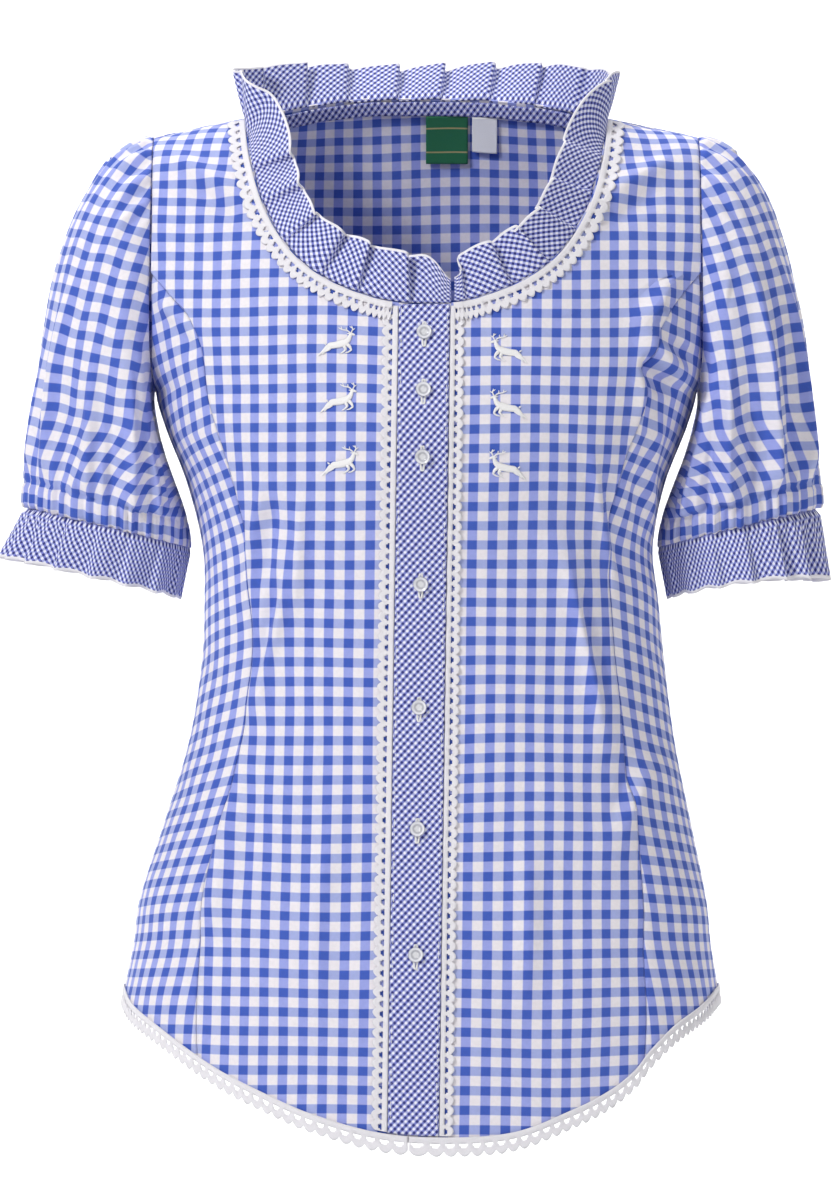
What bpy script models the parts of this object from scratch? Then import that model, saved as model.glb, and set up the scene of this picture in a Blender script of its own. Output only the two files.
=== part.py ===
"""A short puff-sleeved dirndl blouse, filled out as if worn.

Metres, +Z up, the front faces -Y and the wearer's left is +X. The origin is where the
wearer holds the blouse up: midway between the two neck points of the shoulder seams.
"""

import math

import bmesh
import bpy
from mathutils import Vector

# Cloth and seams
CLOTH_WALL = 0.0012
LACE_WALL = 0.0010
PLACKET_WALL = 0.0015
SEAM_HALF_GAP = 0.0002
SEAM_INSET = 0.0017
SHOULDER_INSET = 0.00003
LIFT = 0.0005
INNER_LIFT = CLOTH_WALL + 0.0012
LABEL_LIFT = CLOTH_WALL + 0.0018
RUFFLE_START = 0.0014

# General figure
SECTION_POWER = 2.3
DOME_POWER = 2.2
UNDERARM_Z = -0.173
NECK_POINT_X = 0.113
SHOULDER_TIP_X = 0.171
SHOULDER_TIP_Z = -0.0125
ARMHOLE_X = 0.1715
BACK_NECK_Z = 0.016
NECK_RIDGE_Z = 0.0455
FRONT_NECK_Z = -0.121
SEAM_START_Z = -0.100
SEAM_HEM_X = 0.138
HEM_SIDE_Z = -0.556
NECK_ROW_DIP = 0.016
RIDGE_POWER = 1.85
BACK_NECK_POWER = 2.6
ROW_EASE = 0.9
NORMAL_STEP = 0.004
NORMAL_DROP = 0.0015
CALM_FRONT_X = 0.03
CALM_EDGE = 0.12

# Height, half width, depth to the front, depth to the back, sideways sway
BODY = (
    (-0.670, 0.1900, 0.114, 0.123, -0.0030),
    (-0.600, 0.1890, 0.112, 0.121, -0.0030),
    (-0.556, 0.1877, 0.110, 0.119, -0.0030),
    (-0.518, 0.1814, 0.107, 0.114, -0.0024),
    (-0.493, 0.1786, 0.105, 0.110, -0.0020),
    (-0.442, 0.1654, 0.102, 0.101, 0.0010),
    (-0.392, 0.1528, 0.099, 0.092, 0.0036),
    (-0.341, 0.1455, 0.098, 0.086, 0.0044),
    (-0.305, 0.1430, 0.101, 0.084, 0.0034),
    (-0.270, 0.1417, 0.106, 0.086, 0.0010),
    (-0.230, 0.1505, 0.115, 0.090, 0.0000),
    (-0.195, 0.1640, 0.120, 0.094, 0.0000),
    (-0.173, 0.1700, 0.118, 0.096, 0.0000),
    (-0.120, 0.1715, 0.106, 0.097, 0.0000),
    (-0.060, 0.1715, 0.092, 0.095, 0.0000),
    (0.050, 0.1715, 0.080, 0.090, 0.0000),
)
WIDTH = 1
FRONT_DEPTH = 2
BACK_DEPTH = 3
SWAY = 4

# Height, half width of the figure behind the armhole
CHEST = (
    (-0.173, 0.1700),
    (-0.160, 0.1780),
    (-0.140, 0.1870),
    (-0.110, 0.1980),
    (-0.070, 0.2100),
    (-0.020, 0.2200),
    (0.050, 0.2250),
)

# Distance from the centre, height of the lower edge, which hangs a little aslant
HEM = (
    (-0.188, -0.5490),
    (-0.180, -0.5595),
    (-0.162, -0.5725),
    (-0.143, -0.5860),
    (-0.123, -0.5985),
    (-0.098, -0.6110),
    (-0.069, -0.6235),
    (-0.026, -0.6355),
    (0.015, -0.6385),
    (0.056, -0.6355),
    (0.089, -0.6235),
    (0.115, -0.6110),
    (0.131, -0.5985),
    (0.141, -0.5860),
    (0.155, -0.5725),
    (0.175, -0.5595),
    (0.188, -0.5490),
)

# Distance from the centre, height of the front neck seam
NECKLINE = (
    (0.000, -0.1210),
    (0.017, -0.1200),
    (0.032, -0.1170),
    (0.059, -0.1065),
    (0.081, -0.0900),
    (0.098, -0.0640),
    (0.109, -0.0300),
    (0.113, 0.0000),
)

# Height, share of the half width where the front's long seam runs
LONG_SEAM = (
    (-0.670, 0.720),
    (-0.583, 0.737),
    (-0.460, 0.778),
    (-0.340, 0.775),
    (-0.240, 0.800),
    (-0.158, 0.806),
    (-0.130, 0.850),
    (-0.113, 0.930),
    (-0.100, 1.000),
)

# Folds in the body: side, top x and z, bottom x and z, half width, height
FOLDS = (
    (-1, -0.085, -0.278, -0.108, -0.367, 0.013, 0.0030),
    (-1, 0.083, -0.278, 0.110, -0.392, 0.013, 0.0034),
    (-1, 0.135, -0.414, 0.119, -0.449, 0.014, 0.0030),
    (-1, 0.147, -0.115, 0.160, -0.162, 0.013, 0.0040),
    (-1, -0.160, -0.108, -0.145, -0.135, 0.013, 0.0026),
    (-1, -0.160, -0.030, -0.114, -0.055, 0.012, 0.0022),
    (-1, 0.158, -0.030, 0.106, -0.058, 0.012, 0.0022),
    (1, -0.075, -0.260, -0.100, -0.380, 0.015, 0.0032),
    (1, 0.070, -0.270, 0.104, -0.400, 0.015, 0.0030),
    (1, 0.020, -0.300, 0.030, -0.420, 0.016, 0.0024),
)

# Placket, with the lace beside it
PLACKET_WIDTH = 0.0315
PLACKET_TOP_Z = -0.1215
PLACKET_BOTTOM_Z = -0.6340
PLACKET_TOP_X = -0.001
PLACKET_BOTTOM_X = -0.008
LACE_WIDTH_RIGHT = 0.0100
LACE_WIDTH_LEFT = 0.0088
NECK_LACE_WIDTH = 0.0123
CLOSING_LAP = 0.0100
STRIP_CLEARANCE = 0.0006
NECK_LACE_START = {-1: 0.330, 1: 0.300}
NECK_LACE_END = 0.985
NECK_LACE_STEP = 0.01
NECK_LACE_INSET = 0.0006
NECK_LACE_SHOULDER_GAP = 0.0010
HEM_LACE_OVERLAP = 0.0040
HEM_LACE_DROP = 0.0080
HEM_LACE_HALF_GAP = 0.0012

# Buttons
BUTTON_RADIUS = 0.00475
BUTTON_RIM = 0.0009
BUTTON_THICKNESS = 0.0020
BUTTON_GAP = 0.0004
BUTTON_STEPS = 14
BUTTON_Z = (-0.139, -0.1745, -0.215, -0.2935, -0.370, -0.445, -0.5225)

# Neck ruffle
NECK_RUFFLE_HEIGHT = 0.0330
NECK_RUFFLE_WAVES = 24
NECK_RUFFLE_DEPTH = 0.0055
NECK_RUFFLE_LEAN = 0.26
NECK_RUFFLE_END_X = 0.0152
NECK_RUFFLE_START_X = -0.012
NECK_RUFFLE_CLOSING = (0.0018, 0.0008)
NECK_RUFFLE_SPREAD = 1.3
NECK_RUFFLE_END_SHARE = 0.02
NECK_RUFFLE_END_HEIGHT = 0.55
TANGENT_STEP = 0.012
WAVE_START = math.pi / 4

# Binding and labels inside the back neck
BINDING_WIDTH = 0.0080
BINDING_WALL = 0.0010
BINDING_DROP = 0.0012
BINDING_END_GAP = 0.006
LABEL_GAP = 0.0004
LABEL_WALL = 0.0010
WOVEN_LABEL = (0.000, 0.027, 0.030)
CARE_LABEL = (0.030, 0.046, 0.022)

# Sleeves, each given as if on the wearer's left. The photograph's two cuffs differ a little
CUFF_X = {-1: 0.2000, 1: 0.1965}
CUFF_Z = -0.2580
CUFF_HALF_WIDTH = {-1: 0.0535, 1: 0.0522}
CUFF_HALF_DEPTH = 0.0430
CUFF_TILT = math.radians(13.7)
ARMHOLE_GAP = 0.0004
UNDERARM_GAP = 0.0007
SLEEVE_WAVES = 15
SLEEVE_FOLD = 0.0040
CASING_FOLD = 0.0012
CAP_FOLD = 0.0022
CASING_START = 0.84
CASING_RISE = 0.08
SLEEVE_STEP = 0.02
SLEEVE_ROWS = (0.0, 0.05, 0.15, 0.28, 0.43, 0.58, 0.72, 0.84, 0.92, 1.0)
CUFF_SEAM_GAP = 0.0006
CUFF_RUFFLE_HEIGHT = 0.0320
CUFF_RUFFLE_DROOP = {-1: 0.002, 1: 0.0140}
CUFF_RUFFLE_WAVES = 16
CUFF_RUFFLE_FLARE = 0.0050
CUFF_RUFFLE_DEPTH = 0.0036

PANEL_ROWS = 17
YOKE_ROWS = 9
LOWER_SHARE = PANEL_ROWS / (PANEL_ROWS + YOKE_ROWS)
BACK_COLUMNS = 18
BACK_NECK_SHARE = 2 / 3
SAMPLES_PER_WAVE = 4


def clear_scene():
    for item in list(bpy.data.objects):
        bpy.data.objects.remove(item, do_unlink=True)


def material(name, colour, roughness):
    made = bpy.data.materials.new(name)
    made.use_nodes = True
    shader = made.node_tree.nodes["Principled BSDF"]
    shader.inputs["Base Color"].default_value = (*colour, 1.0)
    shader.inputs["Roughness"].default_value = roughness
    shader.inputs["Metallic"].default_value = 0.0
    return made


def blend(a, b, share):
    return a + (b - a) * share


def smoothstep(value):
    value = min(max(value, 0.0), 1.0)
    return value * value * (3.0 - 2.0 * value)


def read_table(rows, place, column):
    """A smooth curve through one column of a table whose first column rises."""
    place = min(max(place, rows[0][0]), rows[-1][0])
    index = 0
    while index < len(rows) - 2 and place > rows[index + 1][0]:
        index += 1

    def slope(at):
        low = max(at - 1, 0)
        high = min(at + 1, len(rows) - 1)
        return (rows[high][column] - rows[low][column]) / (rows[high][0] - rows[low][0])

    start, end = rows[index], rows[index + 1]
    span = end[0] - start[0]
    t = (place - start[0]) / span
    value = (2 * t ** 3 - 3 * t ** 2 + 1) * start[column] + (3 * t ** 2 - 2 * t ** 3) * end[column]
    value += (t ** 3 - 2 * t ** 2 + t) * span * slope(index)
    value += (t ** 3 - t ** 2) * span * slope(index + 1)
    return value


def edge_x(z):
    """Half width to the side seam, and above the underarm to the armhole."""
    width = read_table(BODY, z, WIDTH)
    return min(width, ARMHOLE_X) if z > UNDERARM_Z else width


def shoulder_z(x):
    """The ridge between front and back: the shoulder seam, and the figure's rise inside the neck."""
    if abs(x) < NECK_POINT_X:
        return NECK_RIDGE_Z * (1.0 - (abs(x) / NECK_POINT_X) ** RIDGE_POWER)
    return SHOULDER_TIP_Z * (abs(x) - NECK_POINT_X) / (SHOULDER_TIP_X - NECK_POINT_X)


def theta_of(x, z):
    """The body's angle, from -1 to 1, at a distance x from the centre."""
    share = min(abs(x) / edge_x(z), 1.0)
    return math.copysign(math.asin(share ** (SECTION_POWER / 2)) * 2 / math.pi, x)


def x_at(theta, z):
    return edge_x(z) * abs(math.sin(theta * math.pi / 2)) ** (2 / SECTION_POWER)


def fold_height(x, z, side):
    """How far the cloth's folds stand out of the figure's plain form."""
    height = 0.0
    for fold_side, x_top, z_top, x_bottom, z_bottom, half_width, peak in FOLDS:
        if fold_side != side:
            continue
        run = Vector((x_bottom - x_top, z_bottom - z_top))
        share = (Vector((x - x_top, z - z_top)).dot(run)) / run.length_squared
        inside = min(max(share, 0.0), 1.0)
        nearest = Vector((x_top, z_top)) + run * inside
        away = (Vector((x, z)) - nearest).length
        height += peak * math.exp(-((away / half_width) ** 2))
    return height


def figure(theta, z, side):
    x = math.copysign(x_at(theta, z), theta)
    depth = read_table(BODY, z, FRONT_DEPTH if side < 0 else BACK_DEPTH)
    below = z - shoulder_z(x)
    rise = min(max((below - UNDERARM_Z) / -UNDERARM_Z, 0.0), 1.0)
    dome = (1.0 - rise ** DOME_POWER) ** (1 / DOME_POWER)
    width = read_table(CHEST, z, 1) if z > UNDERARM_Z else edge_x(z)
    share = min(abs(x) / width, 1.0)
    roundness = max(1.0 - share ** SECTION_POWER, 0.0) ** (1 / SECTION_POWER)
    return Vector((x, side * depth * dome * roundness, z))


def figure_normal(theta, z, side):
    inner = theta - math.copysign(NORMAL_STEP, theta)
    here = figure(theta, z, side)
    across = (here - figure(inner, z, side)) * math.copysign(1.0, theta)
    lower = z - NORMAL_DROP
    along = here - figure(theta_of(here.x, lower), lower, side)
    normal = across.cross(along)
    if normal.dot(Vector((here.x, here.y, 0.02))) < 0:
        normal.negate()
    return normal.normalized()


def on_body(theta, z, side, lift=0.0):
    """A point of the cloth's outer face, moved out by lift."""
    point = figure(theta, z, side)
    quiet = smoothstep((abs(point.x) - CALM_FRONT_X) / CALM_FRONT_X) * smoothstep((1.0 - abs(theta)) / CALM_EDGE)
    raised = fold_height(point.x, z, side) * quiet + lift
    if raised:
        point = point + figure_normal(theta, z, side) * raised
    return point + Vector((read_table(BODY, z, SWAY), 0.0, 0.0))


def sheet(name, columns, rows, place, wall, finish, inside, outward=False, closed=False):
    """A grid laid out by place(u, v), thickened to a wall."""
    grid = bmesh.new()
    bmesh.ops.create_grid(grid, x_segments=columns, y_segments=rows, size=0.5)
    for vertex in grid.verts:
        vertex.co = place(vertex.co.x + 0.5, vertex.co.y + 0.5)
    if closed:
        bmesh.ops.remove_doubles(grid, verts=grid.verts, dist=0.00001)
    grid.normal_update()
    facing = sum(face.normal.dot(face.calc_center_median() - inside) for face in grid.faces)
    if facing < 0:
        bmesh.ops.reverse_faces(grid, faces=grid.faces)
    mesh = bpy.data.meshes.new(name)
    grid.to_mesh(mesh)
    grid.free()
    mesh.shade_smooth()
    mesh.materials.append(finish)
    item = bpy.data.objects.new(name, mesh)
    PARTS.objects.link(item)
    thicken = item.modifiers.new("Wall", "SOLIDIFY")
    thicken.thickness = wall
    thicken.offset = 1.0 if outward else -1.0
    thicken.use_even_offset = True
    thicken.use_quality_normals = True


def hem_z(theta):
    """Lower edge of the cloth, the same in front and behind."""
    return read_table(HEM, math.copysign(x_at(theta, HEM_SIDE_Z), theta), 1)


def seam_theta(z):
    share = min(read_table(LONG_SEAM, z, 1), 1.0)
    return math.asin(share ** (SECTION_POWER / 2)) * 2 / math.pi


def placket_x(z):
    share = (z - PLACKET_TOP_Z) / (PLACKET_BOTTOM_Z - PLACKET_TOP_Z)
    return blend(PLACKET_TOP_X, PLACKET_BOTTOM_X, share) - read_table(BODY, z, SWAY)


def neckline_at(share):
    """Front neck seam from the centre to the neck point, as x and z."""
    rows = [(number, x, z) for number, (x, z) in enumerate(NECKLINE)]
    place = share * (len(NECKLINE) - 1)
    return read_table(rows, place, 1), read_table(rows, place, 2)


def eased(share):
    """Rows above the neck's lowest point, closer together where the shoulder turns over."""
    return math.sin(share * math.pi / 2) ** ROW_EASE


def closing_x(z, hand):
    """Where a front ends under the placket, as a distance towards its own side."""
    return hand * (placket_x(z) - CLOSING_LAP) + SEAM_HALF_GAP


def centre_panel_place(hand):
    """Front panel from the closing edge to the long seam, armhole, shoulder and neck."""
    seam_hem_z = hem_z(hand * theta_of(SEAM_HEM_X, HEM_SIDE_Z))

    def place(u, v):
        dip = NECK_ROW_DIP * math.sin(math.pi * u)
        if v <= LOWER_SHARE:
            share = v / LOWER_SHARE
            z_inner = blend(hem_z(0.0), FRONT_NECK_Z, share)
            z_outer = blend(seam_hem_z, SEAM_START_Z, share)
            inner = theta_of(closing_x(z_inner, hand), z_inner)
            theta = blend(inner, seam_theta(z_outer) - SEAM_INSET, u)
            z = blend(hem_z(hand * theta), blend(FRONT_NECK_Z, SEAM_START_Z, u), share)
            z -= dip * share ** 4
            if u >= 1.0:
                z = z_outer
        else:
            share = (v - LOWER_SHARE) / (1 - LOWER_SHARE)
            x_neck, z_neck = neckline_at(share)
            x_neck = max(x_neck, closing_x(z_neck, hand))
            z = blend(z_neck, blend(SEAM_START_Z, SHOULDER_TIP_Z, eased(share)), u)
            z -= dip * (1.0 - share) ** 1.5
            x = blend(x_neck, edge_x(z), u)
            z = min(z, shoulder_z(x) - SHOULDER_INSET)
            theta = theta_of(x, z)
            if u >= 1.0:
                theta -= SEAM_INSET
        point = on_body(hand * theta, z, -1)
        if v >= 1.0:
            point.y -= SEAM_HALF_GAP
        return point

    return place


def side_panel_place(hand):
    """Front panel from the long seam to the side seam, and up to the armhole."""
    seam_hem_z = hem_z(hand * theta_of(SEAM_HEM_X, HEM_SIDE_Z))

    def place(u, v):
        z_seam = blend(seam_hem_z, SEAM_START_Z, v)
        theta = blend(min(seam_theta(z_seam) + SEAM_INSET, 1.0), 1.0, u)
        z = blend(hem_z(hand * theta), blend(SEAM_START_Z, UNDERARM_Z, u), v)
        if u <= 0.0:
            z = z_seam - 0.0006 * smoothstep(v * 20 - 19)
        point = on_body(hand * theta, z, -1)
        if u >= 1.0:
            point.y -= SEAM_HALF_GAP
        return point

    return place


def back_column_x(across):
    """Where a column of the back meets the neck or shoulder seam."""
    share = abs(across) / BACK_NECK_SHARE
    if share <= 1.0:
        return share * NECK_POINT_X
    return blend(NECK_POINT_X, SHOULDER_TIP_X, (abs(across) - BACK_NECK_SHARE) / (1 - BACK_NECK_SHARE))


def back_top_z(x):
    """Back neck seam, then the shoulder seam."""
    if abs(x) >= NECK_POINT_X - 0.0001:
        return shoulder_z(x) - SHOULDER_INSET
    return BACK_NECK_Z * (1.0 - (abs(x) / NECK_POINT_X) ** BACK_NECK_POWER)


def back_place(u, v):
    """The back, from side seam to side seam."""
    across = 2.0 * u - 1.0
    if v <= LOWER_SHARE:
        theta = across
        z = blend(hem_z(theta), FRONT_NECK_Z, v / LOWER_SHARE)
    else:
        share = eased((v - LOWER_SHARE) / (1 - LOWER_SHARE))
        x_top = back_column_x(across)
        z = blend(FRONT_NECK_Z, back_top_z(x_top), share)
        theta = math.copysign(theta_of(blend(x_at(across, FRONT_NECK_Z), x_top, share), z), across)
    point = on_body(theta, z, 1)
    if abs(across) >= 1.0 or v >= 1.0:
        point.y += SEAM_HALF_GAP
    return point


def strip_place(x_low, x_high, z_top, lift):
    """A band down the front, between two distances from the placket's middle."""

    def place(u, v):
        across = blend(x_low, x_high, u)
        z_bottom = hem_z(theta_of(PLACKET_BOTTOM_X + across, PLACKET_BOTTOM_Z))
        z_bottom += HEM_LACE_OVERLAP + STRIP_CLEARANCE
        z = blend(z_bottom, z_top, v)
        return on_body(theta_of(placket_x(z) + across, z), z, -1, lift)

    return place


def hem_lace_place(start, end, side):
    def place(u, v):
        theta = blend(start, end, u)
        z = hem_z(theta) + blend(-HEM_LACE_DROP, HEM_LACE_OVERLAP, v)
        point = on_body(theta, z, side, LIFT)
        if abs(theta) >= 0.999:
            point.y += side * SEAM_HALF_GAP * 2
        return point

    return place


def neck_lace_place(hand):
    """Lace that follows the front neck seam up to the shoulder."""

    def place(u, v):
        share = blend(NECK_LACE_START[hand], NECK_LACE_END, u)
        x, z = neckline_at(share)
        x_next, z_next = neckline_at(min(share + NECK_LACE_STEP, 1.0))
        x_last, z_last = neckline_at(share - NECK_LACE_STEP)
        run = Vector((x_next - x_last, z_next - z_last)).normalized()
        out = Vector((run.y, -run.x)) * blend(NECK_LACE_INSET, NECK_LACE_WIDTH, v)
        x += out.x
        z = min(z + out.y, shoulder_z(x) - NECK_LACE_SHOULDER_GAP)
        return on_body(hand * theta_of(x, z), z, -1, LIFT)

    return place


def neck_path():
    """The neck seam from the placket's free edge round the back to the other front."""
    front = [(blend(NECK_RUFFLE_END_X, NECK_RUFFLE_START_X, k / 4), FRONT_NECK_Z, -1) for k in range(5)]
    rising = [neckline_at(k / YOKE_ROWS) for k in range(1, YOKE_ROWS + 1)]
    right = [(-x, z, -1) for x, z in rising]
    back_columns = round(BACK_COLUMNS * BACK_NECK_SHARE)
    back = []
    for k in range(1, back_columns):
        x = back_column_x(abs(2 * k / back_columns - 1) * BACK_NECK_SHARE)
        x = math.copysign(x, k - back_columns / 2)
        back.append((x, back_top_z(x), 1))
    left = [(x, z, -1) for x, z in reversed(rising)]
    end = (NECK_RUFFLE_END_X + NECK_RUFFLE_CLOSING[0], FRONT_NECK_Z + NECK_RUFFLE_CLOSING[1], -1)
    return front + right + back + left[:-1] + [end]


def path_points():
    """Neck seam points, each with its side, and the length along the seam to each."""
    raw = []
    for x, z, side in neck_path():
        height = min(z, shoulder_z(x))
        raw.append((figure(theta_of(x, height), height, side), side))
    lengths = [0.0]
    for (a, _), (b, _) in zip(raw, raw[1:]):
        lengths.append(lengths[-1] + (b - a).length)
    return raw, lengths


def path_at(raw, lengths, share):
    target = share * lengths[-1]
    index = 0
    while index < len(lengths) - 2 and lengths[index + 1] < target:
        index += 1
    part = (target - lengths[index]) / max(lengths[index + 1] - lengths[index], 1e-9)
    (a, side_a), (b, side_b) = raw[index], raw[index + 1]
    return a.lerp(b, part), side_a


def ruffle_direction(point, tangent, side):
    """Inward across the seam in front, and upright over the shoulders and the back."""
    flat = Vector((tangent.x, 0.0, tangent.z))
    across = Vector((-flat.z, 0.0, flat.x)).normalized()
    if across.x * point.x > 0.0 and abs(point.x) > 0.03:
        across.negate()
    if across.z < 0.0 and abs(point.x) <= 0.03:
        across.negate()
    across.x *= smoothstep((abs(point.x) - 0.014) / 0.030)
    across.normalize()
    across.y = -0.5 * smoothstep((abs(point.x) - 0.06) / 0.03)
    lean = NECK_RUFFLE_LEAN * (1.0 - (point.x / NECK_POINT_X) ** 2) if side > 0 else 0.0
    upright = Vector((point.x * 0.42, lean, 0.28)).normalized()
    share = 1.0 if side > 0 else smoothstep((point.z + 0.034) / 0.034)
    return across.lerp(upright, share).normalized()


def neck_ruffle_place():
    raw, lengths = path_points()

    def place(u, v):
        point, side = path_at(raw, lengths, u)
        before = path_at(raw, lengths, max(u - TANGENT_STEP, 0.0))[0]
        after = path_at(raw, lengths, min(u + TANGENT_STEP, 1.0))[0]
        tangent = (after - before).normalized()
        up = ruffle_direction(point, tangent, side)
        wave_way = tangent.cross(up).normalized()
        near_end = smoothstep(min(u, 1.0 - u) / NECK_RUFFLE_END_SHARE)
        height = NECK_RUFFLE_HEIGHT * blend(NECK_RUFFLE_END_HEIGHT, 1.0, near_end)
        phase = 2 * math.pi * (NECK_RUFFLE_WAVES * u) + WAVE_START
        depth = NECK_RUFFLE_DEPTH * v ** NECK_RUFFLE_SPREAD * math.sin(phase)
        return point + up * (RUFFLE_START + height * v) + wave_way * depth

    return place


def inner_back_place(x_low, x_high, top_drop, bottom_drop, lift):
    """A piece on the inner face of the back, hung from the neck seam."""

    def place(u, v):
        x = blend(x_low, x_high, u)
        z = back_top_z(x) - blend(bottom_drop, top_drop, v)
        return on_body(theta_of(x, z), z, 1, -lift)

    return place


def armhole(angle):
    """Armhole seam for the wearer's left: 0 at the shoulder, pi at the underarm."""
    turn = angle % (2 * math.pi)
    side = -1 if turn <= math.pi else 1
    share = turn / math.pi if side < 0 else 2.0 - turn / math.pi
    z = blend(SHOULDER_TIP_Z, UNDERARM_Z, (1.0 - math.cos(share * math.pi)) / 2)
    return figure(1.0, z, side)


def cuff(hand, angle, drop, grow):
    """A ring round the cuff, drop below its seam and grow wider."""
    across = Vector((math.cos(CUFF_TILT), 0.0, math.sin(CUFF_TILT)))
    down = Vector((math.sin(CUFF_TILT), 0.0, -math.cos(CUFF_TILT)))
    centre = Vector((CUFF_X[hand], 0.0, CUFF_Z)) + down * drop
    centre += across * grow * 0.35
    wide = (CUFF_HALF_WIDTH[hand] + grow) * math.cos(angle)
    deep = (CUFF_HALF_DEPTH + grow) * math.sin(angle)
    return centre + across * wide + Vector((0.0, -deep, 0.0))


def sleeve_plain(hand, angle, share):
    """The sleeve without its gathers, from armhole to cuff seam."""
    outer = (1.0 + math.cos(angle)) / 2
    front = math.sin(angle)
    start = armhole(angle) + Vector((ARMHOLE_GAP + UNDERARM_GAP * (1.0 - outer), 0.0, 0.0))
    end = cuff(hand, angle, 0.0, 0.0)
    lead = Vector((blend(0.004, 0.055, outer ** 1.3), -0.020 * front, -0.006 - 0.024 * (1 - outer)))
    tail = Vector((-0.004 * outer, -0.026 * front, blend(0.030, 0.115, outer)))
    a = 1.0 - share
    first = start + lead
    second = end + tail
    return start * a ** 3 + first * (3 * a * a * share) + second * (3 * a * share ** 2) + end * share ** 3


def sleeve_place(hand):
    def place(u, v):
        share = SLEEVE_ROWS[round(v * (len(SLEEVE_ROWS) - 1))]
        angle = 2 * math.pi * u
        point = sleeve_plain(hand, angle, share)
        around = sleeve_plain(hand, angle + SLEEVE_STEP, share) - sleeve_plain(hand, angle - SLEEVE_STEP, share)
        nearby = min(share + SLEEVE_STEP, 1.0)
        along = sleeve_plain(hand, angle, nearby) - sleeve_plain(hand, angle, nearby - 2 * SLEEVE_STEP)
        normal = around.cross(along).normalized()
        centre = Vector((CUFF_X[hand], 0.0, point.z))
        if normal.dot(point - centre) < 0:
            normal.negate()
        outer = (1.0 + math.cos(angle)) / 2
        casing = smoothstep((share - CASING_START) / CASING_RISE)
        above_cuff = smoothstep((share - 0.35) / 0.40) * (1.0 - casing)
        cap = (1.0 - smoothstep(share / 0.35)) * smoothstep(share / 0.05) * smoothstep((outer - 0.55) / 0.3)
        uneven = 0.75 + 0.25 * math.sin(3 * angle + 0.6)
        height = SLEEVE_FOLD * above_cuff * uneven * blend(0.25, 1.0, outer)
        height += CASING_FOLD * casing + CAP_FOLD * cap
        wave = math.sin(SLEEVE_WAVES * angle + WAVE_START)
        point = point + normal * height * wave
        return Vector((hand * point.x, point.y, point.z))

    return place


def cuff_ruffle_place(hand):
    def place(u, v):
        angle = 2 * math.pi * u
        outer = (1.0 + math.cos(angle)) / 2
        droop = CUFF_RUFFLE_DROOP[hand] * outer ** 2
        grow = (CUFF_RUFFLE_FLARE - droop * 0.4) * v * blend(0.15, 1.0, outer)
        wave = math.sin(CUFF_RUFFLE_WAVES * angle + WAVE_START)
        grow += CUFF_RUFFLE_DEPTH * wave * v ** 0.8 * blend(0.6, 1.0, outer)
        point = cuff(hand, angle, CUFF_SEAM_GAP + CUFF_RUFFLE_HEIGHT * v, grow)
        point += Vector((-0.25 * droop, 0.0, -droop)) * v
        return Vector((hand * point.x, point.y, point.z))

    return place


def make_button(name, z, finish):
    """A flat round button with a raised rim, turned about its axis."""
    profile = (
        (BUTTON_RADIUS - BUTTON_RIM * 1.6, BUTTON_THICKNESS * 0.65),
        (BUTTON_RADIUS - BUTTON_RIM, BUTTON_THICKNESS),
        (BUTTON_RADIUS - BUTTON_RIM * 0.3, BUTTON_THICKNESS),
        (BUTTON_RADIUS, BUTTON_THICKNESS * 0.6),
        (BUTTON_RADIUS, BUTTON_THICKNESS * 0.25),
        (BUTTON_RADIUS - BUTTON_RIM, 0.0),
    )
    outline = [(0.0, profile[0][1]), *profile, (0.0, 0.0)]
    mesh = bpy.data.meshes.new(name)
    edges = [(k, k + 1) for k in range(len(outline) - 1)]
    mesh.from_pydata([(r, 0.0, h) for r, h in outline], edges, [])
    mesh.materials.append(finish)
    item = bpy.data.objects.new(name, mesh)
    PARTS.objects.link(item)
    turn = item.modifiers.new("Turned", "SCREW")
    turn.steps = BUTTON_STEPS
    turn.render_steps = BUTTON_STEPS
    turn.use_merge_vertices = True
    turn.merge_threshold = 0.00005
    x = placket_x(z)
    theta = theta_of(x, z)
    normal = figure_normal(theta, z, -1)
    item.location = on_body(theta, z, -1, LIFT + PLACKET_WALL + BUTTON_GAP)
    item.rotation_mode = "QUATERNION"
    item.rotation_quaternion = normal.to_track_quat("Z", "Y")


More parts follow.
